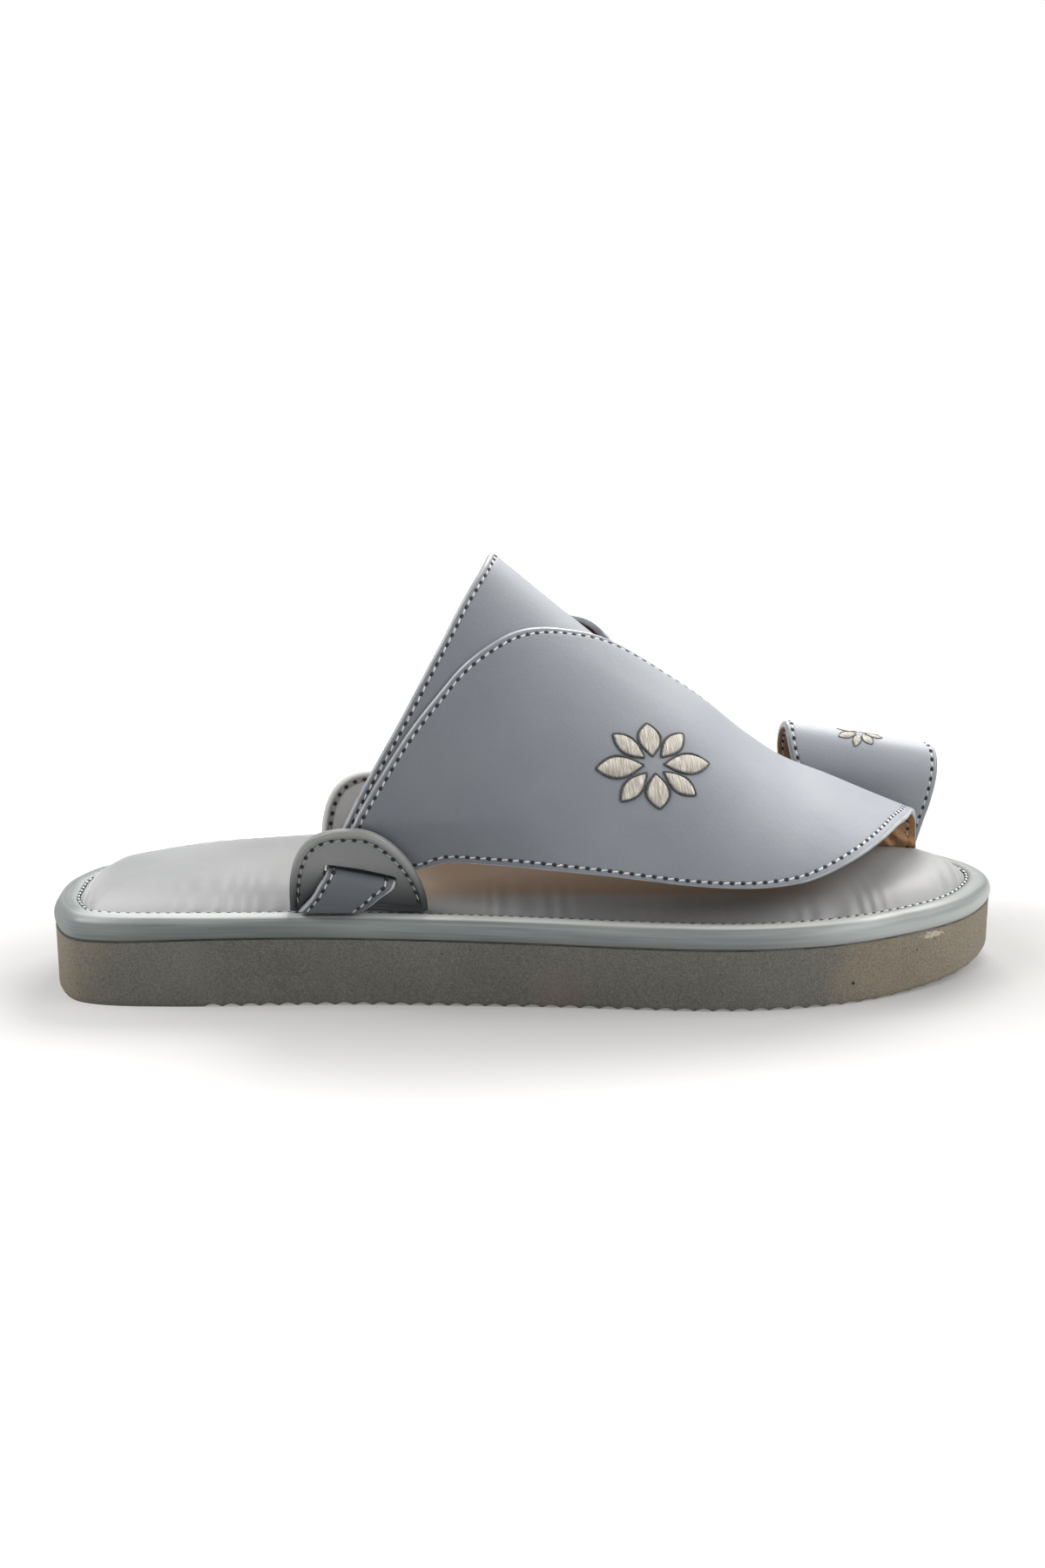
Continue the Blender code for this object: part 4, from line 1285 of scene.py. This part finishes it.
def build_rim():
    """Rolled rim on top of the outsole, a little uneven as sewn leather is, scalloped along its seam."""
    section = np.array(RIM_SECTION)
    knots = lengths_along(section)
    path = curve_through(knots, section, np.linspace(0.0, knots[-1], RIM_STEPS))
    path = np.concatenate([path, [(RIM_WIDTH, GAP)], path[:1]])
    loop, inward, travel = rim_line(0.0)
    uneven = wobble(travel / travel[-1], RIM_WAVES)
    swell = np.sin(np.pi * np.clip(path[:, 1] / RIM_HEIGHT, 0.0, 1.0))
    inset = path[:, 0] - uneven[:, None] * swell
    plan = loop[:, None] + inward[:, None] * inset[..., None]
    top, seat = column(LEVELS, "top", plan[..., 0]), column(LEVELS, "seat", plan[..., 0])
    sewn = rim_line(SEAM_INSET)[2]
    pull = 0.5 + 0.5 * np.cos(2 * math.pi * seam_count() * sewn / sewn[-1])
    by_seam = ease(path[:, 0], SCALLOP_START, RIM_WIDTH) * ease(path[:, 1], *SCALLOP_RISE)
    dip = SCALLOP * pull[:, None] * by_seam
    z = top + path[:, 1] * (1 + (seat - top) / RIM_HEIGHT) - dip
    points = raised(plan, z)
    uv = np.stack(np.broadcast_arrays(travel[:, None], lengths_along(path)), -1)
    bent_piece("rolled_rim", points, uv, [RIM], "footbed_rim")


def pillow_edges():
    """The two sides of the pillow's sewn edge, from the heel tip to the toe tip."""
    loop = EDGE + INWARD * PILLOW_INSET
    half = int(np.argmax(loop[:, 0]))
    lateral = loop[:half + 1]
    medial = np.concatenate([loop[:1], loop[:half - 1:-1]])
    sides = []
    for side in (lateral, medial):
        travel = lengths_along(side)
        at = np.linspace(0.0, travel[-1], PILLOW_STATIONS)
        sides.append(values_along(travel, side, at))
    return sides


def build_pillow():
    """Padded footbed: a crowned pillow, puckered where its cover is sewn into the groove."""
    lateral, medial = pillow_edges()
    share = 0.5 - 0.5 * np.cos(np.pi * np.linspace(0.0, 1.0, 2 * PILLOW_SHARES + 1))
    plan = lateral[:, None] + (medial - lateral)[:, None] * share[:, None]
    x, y = plan[..., 0], plan[..., 1]
    inset = edge_distance(x, y, EDGE) - PILLOW_INSET
    travel = np.concatenate([lengths_along(lateral)[:, None] * np.ones(PILLOW_SHARES),
                             lengths_along(medial)[:, None] * np.ones(PILLOW_SHARES + 1)], 1)
    wave = np.cos(2 * math.pi * travel / PUCKER_PITCH + wobble(travel, DRIFT_WAVES))
    strength = np.clip(PUCKER_MEAN + wobble(travel, PUCKER_WAVES), PUCKER_LEAST, 1.0)
    fade = np.exp(-np.maximum(inset, 0.0) / PUCKER_REACH) * ease(inset, 0.0, PUCKER_START)
    z = pillow_z(x, y, inset) + PUCKER_DEPTH * strength * wave * fade
    top = raised(plan, z)
    floor_share = np.linspace(1.0, 0.0, PILLOW_BOTTOM + 2)
    low_plan = lateral[:, None] + (medial - lateral)[:, None] * floor_share[:, None]
    low = raised(low_plan, column(LEVELS, "seat", low_plan[..., 0]) + GAP)
    points = np.concatenate([top, low, top[:, :1]], 1)
    made = bent_piece("footbed_pillow", points, points[..., :2], [PILLOW], "insole")


def build_seam():
    """Thread of the seam between rim and pillow."""
    line, _, travel = rim_line(SEAM_INSET)
    path = raised(line, column(LEVELS, "seat", line[:, 0]) + SEAM_RISE)
    up = np.zeros_like(path)
    up[:, 2] = 1.0
    pitch = travel[-1] / seam_count()
    stitch_rows("footbed_seam_stitching", [(path, up)], pitch, SEAM_LENGTH, SEAM_WIDTH, 0.0)


def build_glue_line():
    """Thin dark bead of glue under the rim, thicker towards the toe."""
    loop, inward, travel = rim_line(0.0)
    rough = np.clip(GLUE_MEAN + wobble(travel, GLUE_WAVES), 0.0, 1.0)
    thicker = GLUE_HEEL_SHARE + (1 - GLUE_HEEL_SHARE) * ease(loop[:, 0], *GLUE_THICKER_X)
    high = GLUE_LEAST + GLUE_SWELL * rough * thicker
    angles = np.linspace(0.0, 2 * math.pi, GLUE_SIDES + 1)
    inset = GLUE_INSET - GLUE_BREADTH * np.cos(angles)
    rise = GAP / 2 + high[:, None] * np.sin(angles)
    plan = loop[:, None] + inward[:, None] * inset[:, None]
    points = raised(plan, column(LEVELS, "top", plan[..., 0]) + rise)
    bent_piece("glue_line", points, np.zeros(points.shape[:2] + (2,)), [GLUE])


def build_pits():
    """Open pits of the foam in the lateral wall, as dark beads of painted shade."""
    half = EDGE[:int(np.argmax(EDGE[:, 0])) + 1]
    form = bmesh.new()
    for pit in FOAM_PITS:
        k = int(np.searchsorted(half[:, 0], pit.x))
        out = np.append(-INWARD[k], 0.0)
        along = np.cross((0.0, 0.0, 1.0), out)
        size = (pit.size, pit.size * PIT_ROUNDNESS, PIT_DEPTH)
        add_bead(form, HOLE_BEAD, np.append(half[k], pit.z), out, along, size)
    finish_piece("foam_pits", form, [THREAD, HOLE_SHADE])


def prism(points, push):
    """A closed solid from a flat outline pushed along a vector."""
    form = bmesh.new()
    face = form.faces.new([form.verts.new(point) for point in points])
    grown = bmesh.ops.extrude_face_region(form, geom=[face], use_keep_orig=True)
    moved = [item for item in grown["geom"] if isinstance(item, bmesh.types.BMVert)]
    bmesh.ops.translate(form, verts=moved, vec=push)
    bmesh.ops.recalc_face_normals(form, faces=form.faces)
    return form


def plain_object(name, form):
    """A bmesh as an object that isn't a piece of the shoe."""
    return add_object(name, mesh_of(name, form))


def sole_profile():
    """Side view of the outsole, with shallow flutes and narrow ridges across its tread."""
    front = LENGTH + CUT_MARGIN
    across = np.linspace(0.0, 1.0, FLUTE_STEPS)
    deep = np.sin(np.pi * across) ** FLUTE_FULLNESS
    low = [(-CUT_MARGIN, 0.0)]
    for start in np.arange(TREAD_START, LENGTH, TREAD_PITCH):
        x = start + (TREAD_PITCH - FLUTE_LAND) * across
        # Real wear of the flutes towards the toe
        wear_and_painted_highlight = 1 - FLUTE_WEAR * ease(start, *FLUTE_WEAR_X)
        low += list(zip(x, tread_z(x) + FLUTE_DEPTH * wear_and_painted_highlight * deep))
    low.append((front, float(tread_z(front))))
    stations = np.linspace(-CUT_MARGIN, front, SOLE_STATIONS)
    top = list(zip(stations, column(LEVELS, "top", stations)))
    return low + top[::-1]


def sole_plan():
    """Upright cutter with the sole's outline and a rounded lower edge that follows the toe spring."""
    edge, inward = sole_outline(SOLE_POINTS)
    foot = edge + inward * SOLE_ROUNDING[0].inset
    form = bmesh.new()
    top = form.faces.new([form.verts.new(place((x, y, -CUT_MARGIN))) for x, y in foot])
    rings = [(edge + inward * ring.inset, tread_z(edge[:, 0]) + ring.over_tread) for ring in SOLE_ROUNDING]
    rings.append((edge, np.full(SOLE_POINTS, CUT_HEIGHT)))
    for plan, level in rings:
        grown = bmesh.ops.extrude_face_region(form, geom=[top], use_keep_orig=plan is rings[0][0])
        top = next(item for item in grown["geom"] if isinstance(item, bmesh.types.BMFace))
        for vert, spot, z in zip(top.verts, plan, level):
            vert.co = place((*spot, z))
    bmesh.ops.recalc_face_normals(form, faces=form.faces)
    return form


def build_outsole():
    """Foam slab with the side view's profile and tread, cut to the plan outline."""
    profile = [Vector(place((x, -LENGTH / 2, z))) for x, z in sole_profile()]
    slab = plain_object("outsole_slab", prism(profile, Vector((0.0, LENGTH * MM, 0.0))))
    plan = plain_object("outsole_plan", sole_plan())
    cut = slab.modifiers.new("plan", "BOOLEAN")
    cut.operation = "INTERSECT"
    cut.solver = "EXACT"
    cut.object = plan
    shaped = slab.evaluated_get(bpy.context.evaluated_depsgraph_get())
    form = bmesh.new()
    form.from_mesh(shaped.to_mesh())
    for helper in (slab, plan):
        bpy.data.objects.remove(helper)
    made = finish_piece("outsole_foam", form, [FOAM], "outsole")
    made.data.set_sharp_from_angle(angle=SHARP_ANGLE)


def ear_loops():
    """Outline of an ear and of its slot, point for point, in the ear's own plane."""
    angle = np.linspace(0.0, math.pi, EAR_ARC_STEPS)
    turn = np.cos(angle)
    fullness = np.where(turn > 0, EAR_ROUND_FRONT, EAR_ROUND_REAR)
    x = EAR_HALF * np.sign(turn) * np.abs(turn) ** (2 / fullness)
    rise = EAR_HEIGHT * np.maximum(np.sin(angle), 0.0) ** (2 / fullness)
    foot = np.stack([np.linspace(-EAR_HALF, EAR_HALF, EAR_ARC_STEPS), np.zeros(EAR_ARC_STEPS)], -1)
    arc = np.concatenate([np.stack([x, rise], -1), foot[1:]])
    travel = lengths_along(arc)
    at = np.linspace(0.0, travel[-1], EAR_POINTS, endpoint=False)
    outer = values_along(travel, arc, at)
    ray = outer - (SLOT_SHIFT, SLOT_RISE)
    tilt = np.arctan2(ray[:, 1], ray[:, 0]) - SLOT_TILT
    long = np.abs(np.cos(tilt)) / (SLOT_LENGTH / 2)
    high = np.abs(np.sin(tilt)) / (SLOT_OPENING / 2)
    reach = (long ** SLOT_SQUARE + high ** SLOT_SQUARE) ** (-1 / SLOT_SQUARE)
    slot = np.stack([np.cos(tilt + SLOT_TILT), np.sin(tilt + SLOT_TILT)], -1) * reach[:, None]
    return outer, slot + (SLOT_SHIFT, SLOT_RISE)


def ear_sheet(ear):
    """An ear as a sheet that runs round its slot, from its outer edge to the slot's edge."""
    outer, slot = ear_loops()
    flat = outer[:, None] + (slot - outer)[:, None] * RIB_SHARES[:, None]
    ribs = ear_point(ear, ear.mid_x + flat[..., 0], flat[..., 1], -EAR_THICK / 2)
    if ear.side < 0:
        ribs = ribs[::-1]
    return new_sheet(ribs, EAR_THICK, True)


def build_ear(ear):
    """Half-round tab with a rolled edge, its slot and its stitching on both faces."""
    sheet = ear_sheet(ear)
    build_sheet(ear.name + "_tab", sheet, ear_face, [EAR_GREY] * 3 + [EAR_LINING_LIT], ear.name, True)
    paths = []
    for lining in (False, True):
        path, normals = sheet_edge(sheet, EAR_STITCH_INSET, False, lining, -EAR_STITCH_LIFT)
        face_rise = EAR_THICK / 2 * math.sin(EAR_LEAN) * (1.0 if lining else -1.0)
        above = path[:, 2] > EAR_FOOT_Z + EAR_STITCH_INSET + face_rise
        start = int(np.argmax(above & ~np.roll(above, 1)))
        order = np.roll(np.arange(len(path)), -start)
        order = order[above[order]]
        paths.append((path[order], normals[order]))
    stitch_rows(ear.name + "_stitching", paths, EAR_STITCH_PITCH, EAR_STITCH_LENGTH, EAR_STITCH_WIDTH,
                EAR_STITCH_START, EAR_THREAD)


def build_upper():
    """Instep band and the two flaps on it, with their stitched edges."""
    columns = [finer(INSTEP_BAND, name) for name in ("x_rear", "t", "x_front", "t")]
    band = new_sheet(smooth_ribs(form_ribs(*columns, band_lift), SHEET_SPACING), STRAP)
    lateral_ribs = np.concatenate([tail_ribs(EARS[0]), flap_ribs(LATERAL_FLAP, lateral_lift)])
    lateral = new_sheet(smooth_ribs(lateral_ribs, SHEET_SPACING), STRAP)
    medial_ribs = np.concatenate([tail_ribs(EARS[1]), flap_ribs(MEDIAL_FLAP, medial_lift)])
    medial = new_sheet(smooth_ribs(medial_ribs, SHEET_SPACING)[:, ::-1], STRAP)
    made = {}
    for name, sheet in (("instep_band", band), ("lateral_flap", lateral), ("medial_flap", medial)):
        relief, creases = (hem_face, lining_creases) if sheet is lateral else (flat_face, None)
        made[name] = build_sheet(name, sheet, relief, STRAP_MATERIALS, "upper", creases=creases)
    stitch_rows("instep_band_stitching", [sheet_edge(band, STITCH_INSET, False)])
    for name, sheet in (("lateral_flap", lateral), ("medial_flap", medial)):
        inset, depth = (HEM_INSET, HEM_TROUGH) if sheet is lateral else (STITCH_INSET, TROUGH_DEPTH)
        outside = [sheet_edge(sheet, STITCH_INSET, False), sheet_edge(sheet, inset, True, depth=depth)]
        stitch_rows(name + "_stitching", outside)
        inside = sheet_edge(sheet, inset, sheet is lateral, True, depth)
        stitch_rows(name + "_lining_stitching", [inside], yarn=LINING_THREAD)
    build_rosette(made["lateral_flap"], FLAP_MOTIF)


def build_toe_loop():
    """Ring for the big toe, standing on the footbed."""
    loop = new_sheet(smooth_ribs(loop_ribs(), SHEET_SPACING), STRAP)
    ring = build_sheet("toe_ring", loop, flat_face, RING_MATERIALS, "toe_loop")
    paths = [sheet_edge(loop, STITCH_INSET, far, lining) for far in (False, True) for lining in (False, True)]
    stitch_rows("toe_ring_stitching", paths)
    build_rosette(ring, RING_MOTIF)


def build_floor():
    """Plain pale floor with painted light: it glows white away from the shoe, and less round it as a painted
    soft shadow.
    """
    form = bmesh.new()
    bmesh.ops.create_circle(form, cap_ends=True, segments=FLOOR_SIDES, radius=FLOOR_RADIUS)
    finish = Finish("floor", roughness=0.9, emission_strength=1.0)
    finish.set("Base Color", finish.place.noise(3.0).blend((0.185, 0.185, 0.185), (0.195, 0.195, 0.195)))
    # Painted soft shadow: the glow is weaker round the shoe
    away = finish.place.scaled(FLOOR_SHADE_SHAPE).far_from(FLOOR_SHADE_SPOT).between(*FLOOR_SHADE_REACH)
    glow = away.blend((0.17, 0.17, 0.17), (0.82, 0.82, 0.82))
    # Painted light: further out the floor glows white
    outside = finish.place.far_from((0.0, 0.0, 0.0)).between(*FLOOR_WHITE_REACH)
    finish.set("Emission Color", outside.blend(glow, (1.0, 1.0, 1.0)))
    floor = plain_object("floor", form)
    floor.data.materials.append(finish.material)


def area_light(name, spot, target, size, power):
    """A soft rectangular light that looks at a target."""
    lamp = bpy.data.lights.new(name, "AREA")
    lamp.shape = "RECTANGLE"
    lamp.size, lamp.size_y = size
    lamp.energy = power
    lamp.color = LAMP_TINT
    made = add_object(name, lamp)
    made.location = spot
    made.rotation_euler = (Vector(target) - Vector(spot)).to_track_quat("-Z", "Y").to_euler()


def build_light():
    """Soft studio light: a room with white walls, higher behind, under a dark ceiling, and the lamps."""
    world = bpy.data.worlds.new("studio")
    world.use_nodes = True
    tree = world.node_tree
    facing = Signal(tree.nodes.new("ShaderNodeTexCoord").outputs["Generated"])
    behind = facing.part(1).between(*ROOM_BACK_Y)
    white = 1.0 - (facing.part(2) - behind * ROOM_BACK_RISE).between(*ROOM_EDGE_Z)
    fill(tree.nodes["Background"].inputs["Color"], white.blend(ROOM_SHADE, ROOM_WHITE))
    bpy.context.scene.world = world
    for lamp in LAMPS:
        area_light(*lamp)


def build_camera():
    """Camera at the photo's viewing angle."""
    azimuth, elevation = CAMERA_AZIMUTH, CAMERA_ELEVATION
    forward = Vector((math.sin(azimuth) * math.cos(elevation), math.cos(azimuth) * math.cos(elevation),
                      -math.sin(elevation)))
    right = Vector((math.cos(azimuth), -math.sin(azimuth), 0.0))
    view = Matrix((right, right.cross(forward), -forward)).transposed().to_4x4()
    view.translation = Vector(place(CAMERA_TARGET)) - forward * CAMERA_DISTANCE * MM
    data = bpy.data.cameras.new("camera")
    data.lens = CAMERA_LENS
    data.sensor_width = SENSOR
    camera = add_object("camera", data)
    camera.matrix_world = view
    bpy.context.scene.camera = camera


bpy.context.scene.view_settings.view_transform = "Standard"
build_camera()
build_light()
build_floor()
build_outsole()
build_rim()
build_pillow()
build_seam()
build_glue_line()
build_pits()
build_upper()
build_toe_loop()
for one_ear in EARS:
    build_ear(one_ear)
